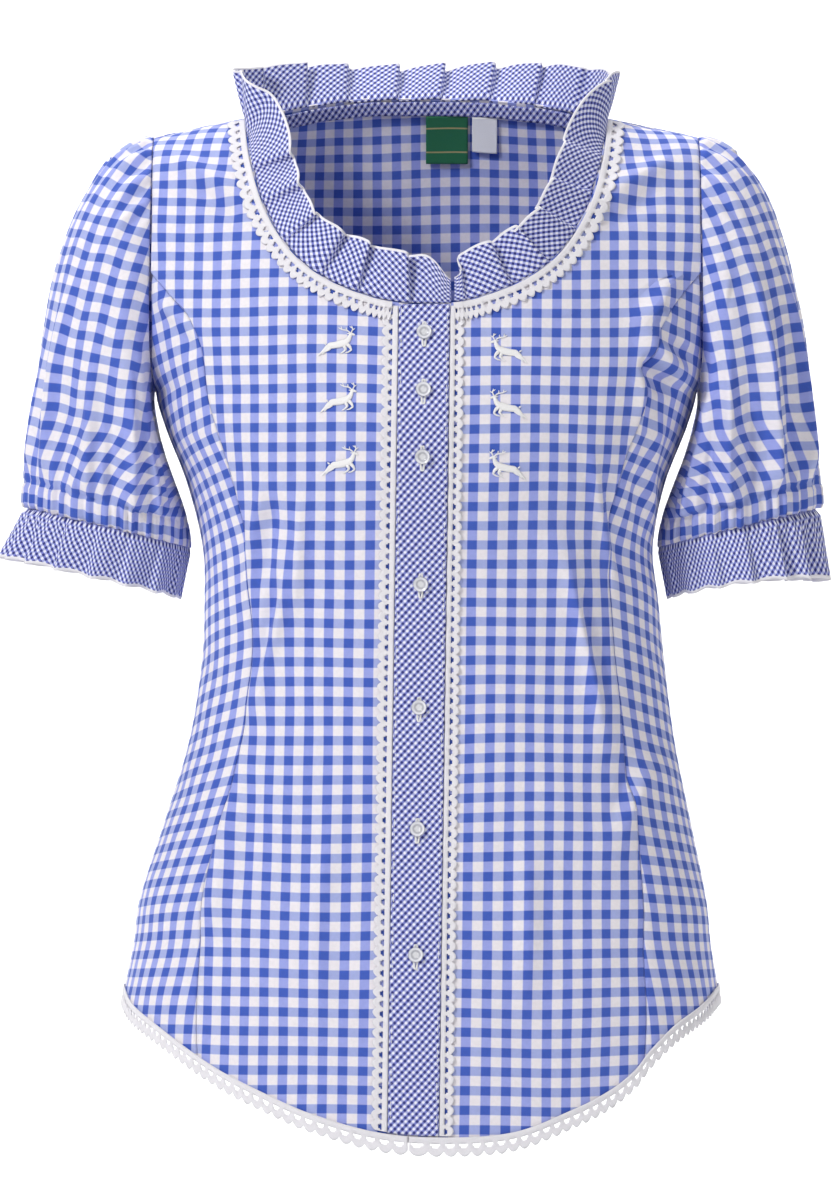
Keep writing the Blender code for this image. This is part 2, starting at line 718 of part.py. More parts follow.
def build():
    gingham = material("Gingham cotton", (0.32, 0.42, 0.78), 0.9)
    mini_check = material("Mini check cotton", (0.20, 0.26, 0.58), 0.9)
    lace = material("Cotton lace", (0.90, 0.90, 0.92), 0.85)
    pearl = material("Pearl buttons", (0.86, 0.87, 0.90), 0.25)
    green = material("Woven label", (0.10, 0.30, 0.20), 0.8)
    white = material("Care label", (0.90, 0.90, 0.90), 0.7)
    trunk = Vector((0.0, 0.0, -0.30))
    total_rows = PANEL_ROWS + YOKE_ROWS

    for name, hand in (("right", -1), ("left", 1)):
        arm = Vector((hand * CUFF_X[hand], 0.0, -0.16))
        sheet(f"front_centre_{name}", 7, total_rows, centre_panel_place(hand), CLOTH_WALL, gingham, trunk)
        sheet(f"front_side_{name}", 5, PANEL_ROWS, side_panel_place(hand), CLOTH_WALL, gingham, trunk)
        sheet(f"sleeve_{name}", SLEEVE_WAVES * SAMPLES_PER_WAVE, len(SLEEVE_ROWS) - 1,
              sleeve_place(hand), CLOTH_WALL, gingham, arm, closed=True)
        sheet(f"cuff_ruffle_{name}", CUFF_RUFFLE_WAVES * SAMPLES_PER_WAVE, 3,
              cuff_ruffle_place(hand), CLOTH_WALL, mini_check, Vector((hand * CUFF_X[hand], 0.0, -0.27)), closed=True)
        sheet(f"neck_lace_{name}", 18, 1, neck_lace_place(hand), LACE_WALL, lace, trunk, outward=True)

    sheet("back", BACK_COLUMNS, total_rows, back_place, CLOTH_WALL, gingham, trunk)
    sheet("neck_ruffle", NECK_RUFFLE_WAVES * SAMPLES_PER_WAVE, 3, neck_ruffle_place(),
          CLOTH_WALL, mini_check, trunk)
    half = PLACKET_WIDTH / 2
    sheet("placket", 2, 26, strip_place(-half, half, PLACKET_TOP_Z, LIFT),
          PLACKET_WALL, mini_check, trunk, outward=True)
    right_edge = -half - 2 * SEAM_HALF_GAP
    sheet("placket_lace_right", 1, 26,
          strip_place(right_edge - LACE_WIDTH_RIGHT, right_edge, PLACKET_TOP_Z - 0.001, LIFT),
          LACE_WALL, lace, trunk, outward=True)
    left_edge = half + 2 * SEAM_HALF_GAP
    sheet("placket_lace_left", 1, 26,
          strip_place(left_edge, left_edge + LACE_WIDTH_LEFT, PLACKET_TOP_Z - 0.001, LIFT),
          LACE_WALL, lace, trunk, outward=True)
    middle = theta_of(PLACKET_BOTTOM_X, PLACKET_BOTTOM_Z)
    sheet("hem_lace_front_right", 18, 2, hem_lace_place(-1.0, middle - HEM_LACE_HALF_GAP, -1),
          LACE_WALL, lace, trunk, outward=True)
    sheet("hem_lace_front_left", 18, 2, hem_lace_place(middle + HEM_LACE_HALF_GAP, 1.0, -1),
          LACE_WALL, lace, trunk, outward=True)
    sheet("hem_lace_back", 36, 2, hem_lace_place(-1.0, 1.0, 1), LACE_WALL, lace, trunk, outward=True)
    reach = NECK_POINT_X - BINDING_END_GAP
    binding_bottom = BINDING_DROP + BINDING_WIDTH
    sheet("neck_binding", 16, 1, inner_back_place(-reach, reach, BINDING_DROP, binding_bottom, INNER_LIFT),
          BINDING_WALL, mini_check, trunk)
    top = binding_bottom + LABEL_GAP
    for name, finish, (x_low, x_high, length) in (
        ("woven_label", green, WOVEN_LABEL),
        ("care_label", white, CARE_LABEL),
    ):
        sheet(name, 3, 3, inner_back_place(x_low, x_high, top, top + length, LABEL_LIFT), LABEL_WALL, finish, trunk)
    for number, z in enumerate(BUTTON_Z, start=1):
        make_button(f"button_{number}", z, pearl)


clear_scene()
PARTS = bpy.data.collections.new("Dirndl blouse")
bpy.context.scene.collection.children.link(PARTS)
build()
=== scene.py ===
"""Finish of a short puff-sleeved dirndl blouse: cloth, lace, embroidery, buttons and light."""

import math

import bmesh
import bpy
import numpy as np
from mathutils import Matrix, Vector


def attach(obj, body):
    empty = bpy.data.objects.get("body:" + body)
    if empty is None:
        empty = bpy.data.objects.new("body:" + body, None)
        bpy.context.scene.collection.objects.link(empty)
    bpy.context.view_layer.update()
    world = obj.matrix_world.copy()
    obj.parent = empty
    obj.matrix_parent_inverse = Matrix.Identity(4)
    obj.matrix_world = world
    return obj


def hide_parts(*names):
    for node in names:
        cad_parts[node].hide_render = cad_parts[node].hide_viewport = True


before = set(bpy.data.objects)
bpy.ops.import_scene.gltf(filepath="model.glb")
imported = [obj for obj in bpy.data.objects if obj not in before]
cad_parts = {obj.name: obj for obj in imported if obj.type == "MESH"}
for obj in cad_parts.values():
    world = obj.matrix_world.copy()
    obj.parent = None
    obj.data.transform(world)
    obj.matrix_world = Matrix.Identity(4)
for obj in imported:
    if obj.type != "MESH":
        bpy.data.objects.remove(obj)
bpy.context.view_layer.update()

# Cloth walls and seams
CLOTH_WALL = 0.0009
LACE_WALL = 0.0006
SEAM_INSET = 0.0009
LIFT = 0.0005
SECTION_POWER = 2.3
DOME_POWER = 2.2

# General figure, as the solids have it
UNDERARM_Z = -0.173
NECK_POINT_X = 0.113
SHOULDER_TIP_X = 0.171
SHOULDER_TIP_Z = -0.0125
ARMHOLE_X = 0.1715
BACK_NECK_Z = 0.016
NECK_RIDGE_Z = 0.0455
FRONT_NECK_Z = -0.121
SEAM_START_Z = -0.100
SEAM_HEM_X = 0.138
HEM_SIDE_Z = -0.556
NECK_ROW_DIP = 0.016
RIDGE_DROP = 0.0000003
SHOULDER_CURVE_Z = -0.070
LOWER_SHARE = 17 / 26
BACK_NECK_SHARE = 2 / 3

# Height, half width, depth to the front, depth to the back, sideways sway
BODY = (
    (-0.670, 0.1900, 0.114, 0.123, -0.0030),
    (-0.600, 0.1890, 0.112, 0.121, -0.0030),
    (-0.556, 0.1877, 0.110, 0.119, -0.0030),
    (-0.518, 0.1814, 0.107, 0.114, -0.0024),
    (-0.493, 0.1786, 0.105, 0.110, -0.0020),
    (-0.442, 0.1654, 0.102, 0.101, 0.0010),
    (-0.392, 0.1528, 0.099, 0.092, 0.0036),
    (-0.341, 0.1455, 0.098, 0.086, 0.0044),
    (-0.305, 0.1430, 0.101, 0.084, 0.0034),
    (-0.270, 0.1417, 0.106, 0.086, 0.0010),
    (-0.230, 0.1505, 0.115, 0.090, 0.0000),
    (-0.195, 0.1640, 0.120, 0.094, 0.0000),
    (-0.173, 0.1700, 0.118, 0.096, 0.0000),
    (-0.120, 0.1715, 0.106, 0.097, 0.0000),
    (-0.060, 0.1715, 0.092, 0.095, 0.0000),
    (0.050, 0.1715, 0.080, 0.090, 0.0000),
)

# Height, half width of the figure behind the armhole
CHEST = (
    (-0.173, 0.1700),
    (-0.160, 0.1780),
    (-0.140, 0.1870),
    (-0.110, 0.1980),
    (-0.070, 0.2100),
    (-0.020, 0.2200),
    (0.050, 0.2250),
)

# Distance from the centre, height of the lower edge, which hangs a little aslant
HEM = (
    (-0.188, -0.5490),
    (-0.180, -0.5595),
    (-0.162, -0.5725),
    (-0.143, -0.5860),
    (-0.123, -0.5985),
    (-0.098, -0.6110),
    (-0.069, -0.6235),
    (-0.026, -0.6355),
    (0.015, -0.6385),
    (0.056, -0.6355),
    (0.089, -0.6235),
    (0.115, -0.6110),
    (0.131, -0.5985),
    (0.141, -0.5860),
    (0.155, -0.5725),
    (0.175, -0.5595),
    (0.188, -0.5490),
)

# Distance from the centre, height of the front neck seam
NECKLINE = (
    (0.000, -0.1210),
    (0.017, -0.1200),
    (0.032, -0.1170),
    (0.059, -0.1065),
    (0.081, -0.0900),
    (0.098, -0.0640),
    (0.109, -0.0300),
    (0.113, 0.0000),
)

# Height, share of the half width where the front's long seam runs
LONG_SEAM = (
    (-0.670, 0.720),
    (-0.583, 0.737),
    (-0.460, 0.778),
    (-0.340, 0.775),
    (-0.240, 0.800),
    (-0.158, 0.806),
    (-0.130, 0.850),
    (-0.113, 0.930),
    (-0.100, 1.000),
)

# Broad folds of the solids: side, top x and z, bottom x and z, half width, height
FOLDS = (
    (-1, -0.085, -0.278, -0.108, -0.367, 0.013, 0.0030),
    (-1, 0.083, -0.278, 0.110, -0.392, 0.013, 0.0034),
    (-1, 0.135, -0.414, 0.119, -0.449, 0.014, 0.0030),
    (-1, 0.147, -0.115, 0.160, -0.162, 0.013, 0.0040),
    (-1, -0.160, -0.108, -0.145, -0.135, 0.013, 0.0026),
    (-1, -0.160, -0.030, -0.114, -0.055, 0.012, 0.0022),
    (-1, 0.158, -0.030, 0.106, -0.058, 0.012, 0.0022),
    (1, -0.075, -0.260, -0.100, -0.380, 0.015, 0.0032),
    (1, 0.070, -0.270, 0.104, -0.400, 0.015, 0.0030),
    (1, 0.020, -0.300, 0.030, -0.420, 0.016, 0.0024),
)

# Creases laid on top of them: side, half width, height, then the line as x and z pairs
CREASES = (
    (-1, 0.0040, 0.0022, (-0.085, -0.270, -0.093, -0.312, -0.103, -0.344, -0.109, -0.380)),
    (-1, 0.0045, -0.0020, (-0.093, -0.282, -0.101, -0.322, -0.112, -0.362)),
    (-1, 0.0038, 0.0018, (-0.100, -0.222, -0.103, -0.244, -0.110, -0.270, -0.115, -0.322)),
    (-1, 0.0050, -0.0016, (-0.093, -0.235, -0.097, -0.262, -0.104, -0.300)),
    (-1, 0.0042, 0.0015, (-0.077, -0.232, -0.080, -0.282, -0.087, -0.322)),
    (-1, 0.0040, 0.0024, (0.082, -0.270, 0.091, -0.322, 0.102, -0.377, 0.111, -0.400)),
    (-1, 0.0045, -0.0020, (0.090, -0.285, 0.098, -0.330, 0.108, -0.372)),
    (-1, 0.0038, 0.0018, (0.100, -0.200, 0.105, -0.229, 0.110, -0.260, 0.118, -0.310)),
    (-1, 0.0050, -0.0014, (0.110, -0.215, 0.114, -0.250, 0.122, -0.300)),
    (-1, 0.0042, 0.0009, (0.136, -0.405, 0.129, -0.428, 0.117, -0.455)),
    (-1, 0.0045, -0.0009, (0.126, -0.400, 0.119, -0.425, 0.108, -0.446)),
    (-1, 0.0065, 0.0036, (0.146, -0.112, 0.134, -0.130, 0.139, -0.146, 0.151, -0.158, 0.164, -0.168)),
    (-1, 0.0050, 0.0026, (0.152, -0.098, 0.142, -0.122, 0.150, -0.138, 0.166, -0.150)),
    (-1, 0.0055, -0.0040, (0.132, -0.152, 0.141, -0.164, 0.156, -0.174)),
    (-1, 0.0050, -0.0026, (0.146, -0.126, 0.152, -0.142, 0.164, -0.158)),
    (-1, 0.0045, 0.0020, (0.146, -0.176, 0.140, -0.220, 0.137, -0.270)),
    (-1, 0.0040, -0.0018, (0.138, -0.172, 0.133, -0.215, 0.131, -0.262)),
    (-1, 0.0045, 0.0020, (0.131, -0.136, 0.134, -0.180, 0.132, -0.220, 0.138, -0.250)),
    (-1, 0.0045, 0.0022, (-0.166, -0.112, -0.156, -0.128, -0.146, -0.142)),
    (-1, 0.0050, -0.0018, (-0.160, -0.122, -0.151, -0.137, -0.142, -0.156)),
    (-1, 0.0060, 0.0018, (-0.160, -0.026, -0.138, -0.038, -0.114, -0.052)),
    (-1, 0.0060, 0.0018, (0.158, -0.026, 0.132, -0.040, 0.106, -0.054)),
    (-1, 0.0065, -0.0014, (-0.150, -0.046, -0.130, -0.056, -0.112, -0.070)),
    (-1, 0.0065, -0.0014, (0.150, -0.046, 0.128, -0.060, 0.110, -0.074)),
    (-1, 0.0060, 0.0016, (-0.122, -0.420, -0.128, -0.462, -0.130, -0.520)),
    (-1, 0.0065, -0.0012, (-0.108, -0.400, -0.112, -0.450, -0.112, -0.500)),
    (-1, 0.0070, 0.0014, (0.060, -0.440, 0.066, -0.500, 0.064, -0.570)),
    (-1, 0.0070, 0.0012, (-0.058, -0.430, -0.066, -0.500, -0.062, -0.580)),
    (1, 0.0045, 0.0022, (-0.060, -0.240, -0.074, -0.300, -0.092, -0.360, -0.098, -0.400)),
    (1, 0.0050, -0.0020, (-0.072, -0.262, -0.088, -0.322, -0.104, -0.372)),
    (1, 0.0045, 0.0022, (0.064, -0.246, 0.078, -0.310, 0.096, -0.370, 0.104, -0.410)),
    (1, 0.0050, -0.0018, (0.052, -0.270, 0.066, -0.330, 0.082, -0.380)),
    (1, 0.0055, 0.0018, (0.014, -0.280, 0.024, -0.340, 0.022, -0.400, 0.034, -0.440)),
    (1, 0.0060, -0.0014, (-0.012, -0.300, -0.008, -0.360, -0.018, -0.420)),
    (1, 0.0055, 0.0020, (0.150, -0.120, 0.138, -0.142, 0.130, -0.170)),
    (1, 0.0055, 0.0020, (-0.150, -0.116, -0.140, -0.140, -0.128, -0.166)),
    (1, 0.0060, 0.0016, (0.152, -0.030, 0.120, -0.046, 0.090, -0.060)),
    (1, 0.0060, 0.0016, (-0.152, -0.030, -0.118, -0.048, -0.088, -0.064)),
    (1, 0.0070, 0.0014, (0.090, -0.440, 0.096, -0.500, 0.092, -0.560)),
    (1, 0.0070, 0.0014, (-0.086, -0.450, -0.094, -0.510, -0.090, -0.570)),
)

# Placket, lace and buttons
PLACKET_WIDTH = 0.0315
PLACKET_WALL = 0.0011
PLACKET_TOP_Z = -0.1215
PLACKET_BOTTOM_Z = -0.6340
PLACKET_TOP_X = -0.001
PLACKET_BOTTOM_X = -0.008
LACE_WIDTH_RIGHT = 0.0100
LACE_WIDTH_LEFT = 0.0088
NECK_LACE_WIDTH = 0.0123
NECK_LACE_START = {-1: 0.178, 1: 0.140}
HEM_LACE_OVERLAP = 0.0040
HEM_LACE_DROP = 0.0080
LACE_PITCH = 0.0063
BUTTON_RADIUS = 0.00475
BUTTON_THICKNESS = 0.0020
BUTTON_Z = (-0.139, -0.1745, -0.215, -0.2935, -0.370, -0.445, -0.5225)

# Neck ruffle
NECK_RUFFLE_HEIGHT = 0.0330
NECK_RUFFLE_WAVES = 24
NECK_RUFFLE_DEPTH = 0.0058
NECK_RUFFLE_LEAN = 0.26
NECK_RUFFLE_END_X = 0.0152
RUFFLE_START = 0.0006

# Inside the back neck
BINDING_WIDTH = 0.0080
BINDING_WALL = 0.0008
INNER_LIFT = 0.0022
LABEL_LIFT = 0.0028
WOVEN_LABEL = (0.000, 0.027, 0.030)
CARE_LABEL = (0.030, 0.046, 0.022)

# Sleeves
ARMHOLE_GAP = 0.0002
UNDERARM_GAP = 0.0007
CUFF_X = {-1: 0.2000, 1: 0.1965}
CUFF_Z = -0.2580
CUFF_HALF_WIDTH = {-1: 0.0535, 1: 0.0522}
CUFF_HALF_DEPTH = 0.0430
CUFF_TILT = math.radians(13.7)
CUFF_RUFFLE_HEIGHT = 0.0320
CUFF_RUFFLE_DROOP = {-1: 0.002, 1: 0.0140}
CUFF_RUFFLE_WAVES = 16
CUFF_RUFFLE_FLARE = 0.0050
CUFF_RUFFLE_DEPTH = 0.0036
CASING_HEIGHT = 0.0165
SLEEVE_ROUND = 0.054

# Colours of the cloth, as linear values
GINGHAM_BLUE = (0.052, 0.110, 0.500)
GINGHAM_WARP = (0.330, 0.375, 0.780)
GINGHAM_WEFT = (0.375, 0.428, 0.745)
GINGHAM_WHITE = (0.840, 0.800, 0.840)
CHECK_BLUE = (0.030, 0.034, 0.200)
CHECK_WARP = (0.200, 0.225, 0.620)
CHECK_WEFT = (0.400, 0.430, 0.740)
CHECK_WHITE = (0.830, 0.830, 0.920)
TRIM_WHITE = (0.820, 0.800, 0.840)
GINGHAM_PITCH = (0.0126, 0.0120)
CHECK_PITCH = (0.0033, 0.0033)


def smoothstep(value):
    value = np.clip(value, 0.0, 1.0)
    return value * value * (3.0 - 2.0 * value)


def blend(a, b, share):
    return a + (b - a) * share


def unit(vectors):
    length = np.linalg.norm(vectors, axis=-1, keepdims=True)
    return vectors / np.maximum(length, 1e-12)


def curve(rows, column, samples=1600):
    """A smooth curve through one column of a table, as a function of the first column."""
    xs = np.array([row[0] for row in rows], float)
    ys = np.array([row[column] for row in rows], float)
    slopes = np.empty(len(xs))
    slopes[1:-1] = (ys[2:] - ys[:-2]) / (xs[2:] - xs[:-2])
    slopes[0] = (ys[1] - ys[0]) / (xs[1] - xs[0])
    slopes[-1] = (ys[-1] - ys[-2]) / (xs[-1] - xs[-2])
    at = np.linspace(xs[0], xs[-1], samples)
    k = np.clip(np.searchsorted(xs, at, side="right") - 1, 0, len(xs) - 2)
    span = xs[k + 1] - xs[k]
    t = (at - xs[k]) / span
    values = (2 * t ** 3 - 3 * t ** 2 + 1) * ys[k] + (3 * t ** 2 - 2 * t ** 3) * ys[k + 1]
    values += (t ** 3 - 2 * t ** 2 + t) * span * slopes[k] + (t ** 3 - t ** 2) * span * slopes[k + 1]
    return lambda place: np.interp(place, at, values)


body_width = curve(BODY, 1)
body_front = curve(BODY, 2)
body_back = curve(BODY, 3)
body_sway = curve(BODY, 4)
chest_width = curve(CHEST, 1)
hem_height = curve(HEM, 1)
seam_share = curve(LONG_SEAM, 1)
neck_rows = [(number, x, z) for number, (x, z) in enumerate(NECKLINE)]
neck_x = curve(neck_rows, 1)
neck_z = curve(neck_rows, 2)


def neckline_at(share):
    place = np.asarray(share) * (len(NECKLINE) - 1)
    return neck_x(place), neck_z(place)


def edge_x(z):
    width = body_width(z)
    return np.where(z > UNDERARM_Z, np.minimum(width, ARMHOLE_X), width)


def shoulder_z(x):
    x = np.abs(x)
    inner = NECK_RIDGE_Z * (1.0 - (np.minimum(x, NECK_POINT_X) / NECK_POINT_X) ** 1.85)
    outer = SHOULDER_TIP_Z * (x - NECK_POINT_X) / (SHOULDER_TIP_X - NECK_POINT_X)
    return np.where(x < NECK_POINT_X, inner, outer)


def x_at(theta, z):
    return edge_x(z) * np.abs(np.sin(theta * math.pi / 2)) ** (2 / SECTION_POWER)


def theta_of(x, z):
    share = np.minimum(np.abs(x) / edge_x(z), 1.0)
    return np.copysign(np.arcsin(share ** (SECTION_POWER / 2)) * 2 / math.pi, x)


def hem_z(theta):
    return hem_height(np.copysign(x_at(theta, np.full_like(theta, HEM_SIDE_Z)), theta))


def seam_theta(z):
    share = np.minimum(seam_share(z), 1.0)
    return np.arcsin(share ** (SECTION_POWER / 2)) * 2 / math.pi


def placket_x(z):
    share = (z - PLACKET_TOP_Z) / (PLACKET_BOTTOM_Z - PLACKET_TOP_Z)
    return blend(PLACKET_TOP_X, PLACKET_BOTTOM_X, share) - body_sway(z)


def figure(theta, z, side):
    """The plain figure: side is -1 in front and 1 behind."""
    x = np.copysign(x_at(theta, z), theta)
    depth = body_front(z) if side < 0 else body_back(z)
    rise = np.clip((z - shoulder_z(x) - UNDERARM_Z) / -UNDERARM_Z, 0.0, 1.0)
    dome = (1.0 - rise ** DOME_POWER) ** (1 / DOME_POWER)
    width = np.where(z > UNDERARM_Z, chest_width(z), edge_x(z))
    share = np.minimum(np.abs(x) / width, 1.0)
    roundness = np.maximum(1.0 - share ** SECTION_POWER, 0.0) ** (1 / SECTION_POWER)
    return np.stack([x, side * depth * dome * roundness, z], axis=-1)


def figure_normal(theta, z, side):
    step = 0.004
    sign = np.copysign(1.0, theta)
    here = figure(theta, z, side)
    across = (here - figure(theta - sign * step, z, side)) * sign[..., None]
    lower = z - 0.0015
    along = here - figure(theta_of(here[..., 0], lower), lower, side)
    normal = np.cross(across, along)
    facing = normal[..., 0] * here[..., 0] + normal[..., 1] * here[..., 1] + normal[..., 2] * 0.02
    return unit(np.where(facing[..., None] < 0, -normal, normal))


def line_distance(x, z, line):
    """Distance from points to a line of x and z pairs, and the share along it."""
    corners = np.array(line, float).reshape(-1, 2)
    lengths = np.linalg.norm(np.diff(corners, axis=0), axis=1)
    starts = np.concatenate([[0.0], np.cumsum(lengths)])
    nearest = np.full(x.shape, 1e9)
    along = np.zeros(x.shape)
    for k, (a, b) in enumerate(zip(corners, corners[1:])):
        run = b - a
        share = np.clip(((x - a[0]) * run[0] + (z - a[1]) * run[1]) / (run @ run), 0.0, 1.0)
        away = np.hypot(x - a[0] - run[0] * share, z - a[1] - run[1] * share)
        closer = away < nearest
        nearest = np.where(closer, away, nearest)
        along = np.where(closer, (starts[k] + share * lengths[k]) / starts[-1], along)
    return nearest, along


def ripple(x, z, phase=0.0):
    """Slight unevenness of worn cotton, from -1 to 1."""
    waves = 0.45 * np.sin(41 * x + 63 * z + 1.3 + phase) + 0.30 * np.sin(97 * x - 38 * z + 4.1 + 2 * phase)
    return waves + 0.25 * np.sin(173 * x + 121 * z + 0.7 - phase)


def relief(x, z, side):
    """Folds and creases of the body, out of the plain figure."""
    height = np.zeros(x.shape)
    for fold_side, x_top, z_top, x_bottom, z_bottom, half_width, peak in FOLDS:
        if fold_side == side:
            away, _ = line_distance(x, z, (x_top, z_top, x_bottom, z_bottom))
            height += peak * np.exp(-((away / half_width) ** 2))
    for crease_side, half_width, peak, line in CREASES:
        if crease_side == side:
            away, along = line_distance(x, z, line)
            fade = smoothstep(along / 0.3) * smoothstep((1.0 - along) / 0.35)
            height += 2.0 * peak * fade * np.exp(-((away / half_width) ** 2))
    return height + 0.0009 * ripple(x, z, 0.8 * side)


def on_body(theta, z, side, lift=0.0, seam_dip=0.0):
    point = figure(theta, z, side)
    x = point[..., 0]
    quiet = smoothstep((np.abs(x) - 0.03) / 0.03) if side < 0 else 1.0
    quiet = quiet * smoothstep((1.0 - np.abs(theta)) / 0.12)
    raised = relief(x, z, side) * quiet + lift + seam_dip
    point = point + figure_normal(theta, z, side) * np.asarray(raised)[..., None]
    point[..., 0] += body_sway(z)
    return point


def arc_length(theta, z, side, steps=14):
    """Length of cloth round the body from the centre to theta."""
    total = np.zeros(theta.shape)
    last = figure(np.zeros_like(theta), z, side)
    for k in range(1, steps + 1):
        here = figure(theta * k / steps, z, side)
        total += np.linalg.norm(here - last, axis=-1)
        last = here
    return np.copysign(total, theta)


def select_only(piece):
    bpy.ops.object.select_all(action="DESELECT")
    piece.select_set(True)
    bpy.context.view_layer.objects.active = piece


def apply_modifier(piece, kind, **settings):
    select_only(piece)
    modifier = piece.modifiers.new(kind.title(), kind)
    for name, value in settings.items():
        setattr(modifier, name, value)
    bpy.ops.object.modifier_apply(modifier=modifier.name)


def finish_piece(piece, finish, slot, *nodes):
    piece.data.materials.clear()
    piece.data.materials.append(finish)
    piece.data.shade_smooth()
    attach(piece, "root")
    if nodes:
        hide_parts(*nodes)
    return piece


def grid_piece(name, columns, rows, place, away_from, closed=False):
    """A flat grid laid out by place(u, v), which gives points and pattern coordinates."""
    bpy.ops.object.select_all(action="DESELECT")
    bpy.ops.mesh.primitive_grid_add(x_subdivisions=columns, y_subdivisions=rows, size=1.0)
    piece = bpy.context.object
    piece.name = name
    mesh = piece.data
    mesh.name = name
    flat = np.empty(len(mesh.vertices) * 3)
    mesh.vertices.foreach_get("co", flat)
    flat = flat.reshape(-1, 3)
    points, pattern = place(flat[:, 0] + 0.5, flat[:, 1] + 0.5)
    mesh.vertices.foreach_set("co", points.ravel())
    corners = np.empty(len(mesh.loops), int)
    mesh.loops.foreach_get("vertex_index", corners)
    mesh.uv_layers[0].data.foreach_set("uv", pattern[corners].ravel())
    mesh.update()
    turn_outward(piece, away_from, closed)
    return piece


def shape_piece(name, shape, finish, slot="lace"):
    """A piece from a bmesh, with its faces turned outwards. The bmesh is freed."""
    bmesh.ops.recalc_face_normals(shape, faces=shape.faces)
    mesh = bpy.data.meshes.new(name)
    shape.to_mesh(mesh)
    shape.free()
    piece = bpy.data.objects.new(name, mesh)
    bpy.context.scene.collection.objects.link(piece)
    return finish_piece(piece, finish, slot)


def turn_outward(piece, away_from, closed=False):
    shape = bmesh.new()
    shape.from_mesh(piece.data)
    if closed:
        bmesh.ops.remove_doubles(shape, verts=shape.verts, dist=0.00001)
    shape.normal_update()
    centre = Vector(away_from)
    facing = sum(face.normal.dot(face.calc_center_median() - centre) for face in shape.faces)
    if facing < 0:
        bmesh.ops.reverse_faces(shape, faces=shape.faces)
    shape.to_mesh(piece.data)
    shape.free()


def thicken(piece, wall, offset=-1.0):
    apply_modifier(piece, "SOLIDIFY", thickness=wall, offset=offset)


# Materials


def new_material(name):
    made = bpy.data.materials.new(name)
    made.use_nodes = True
    nodes = made.node_tree.nodes
    return made, nodes, made.node_tree.links, nodes["Principled BSDF"]


def math_node(nodes, links, operation, first, second=None, third=None):
    node = nodes.new("ShaderNodeMath")
    node.operation = operation
    for socket, value in zip(node.inputs, (first, second, third)):
        if value is None:
            continue
        if isinstance(value, (int, float)):
            socket.default_value = value
        else:
            links.new(value, socket)
    return node.outputs[0]


def mix_colours(nodes, links, share, first, second):
    node = nodes.new("ShaderNodeMix")
    node.data_type = "RGBA"
    for socket, value in ((node.inputs[0], share), (node.inputs[6], first), (node.inputs[7], second)):
        if isinstance(value, tuple):
            socket.default_value = (*value, 1.0)
        elif isinstance(value, float):
            socket.default_value = value
        else:
            links.new(value, socket)
    return node.outputs[2]


def stripe(nodes, links, place, pitch, share, soft):
    """1 inside each dyed stripe and 0 between, with edges softened over a few threads."""
    turned = math_node(nodes, links, "DIVIDE", place, pitch)
    part = math_node(nodes, links, "FRACT", turned)
    away = math_node(nodes, links, "ABSOLUTE", math_node(nodes, links, "SUBTRACT", part, 0.5))
    ramp = nodes.new("ShaderNodeMapRange")
    ramp.interpolation_type = "SMOOTHSTEP"
    ramp.inputs["From Min"].default_value = share / 2 + soft
    ramp.inputs["From Max"].default_value = share / 2 - soft
    links.new(away, ramp.inputs["Value"])
    return ramp.outputs["Result"]


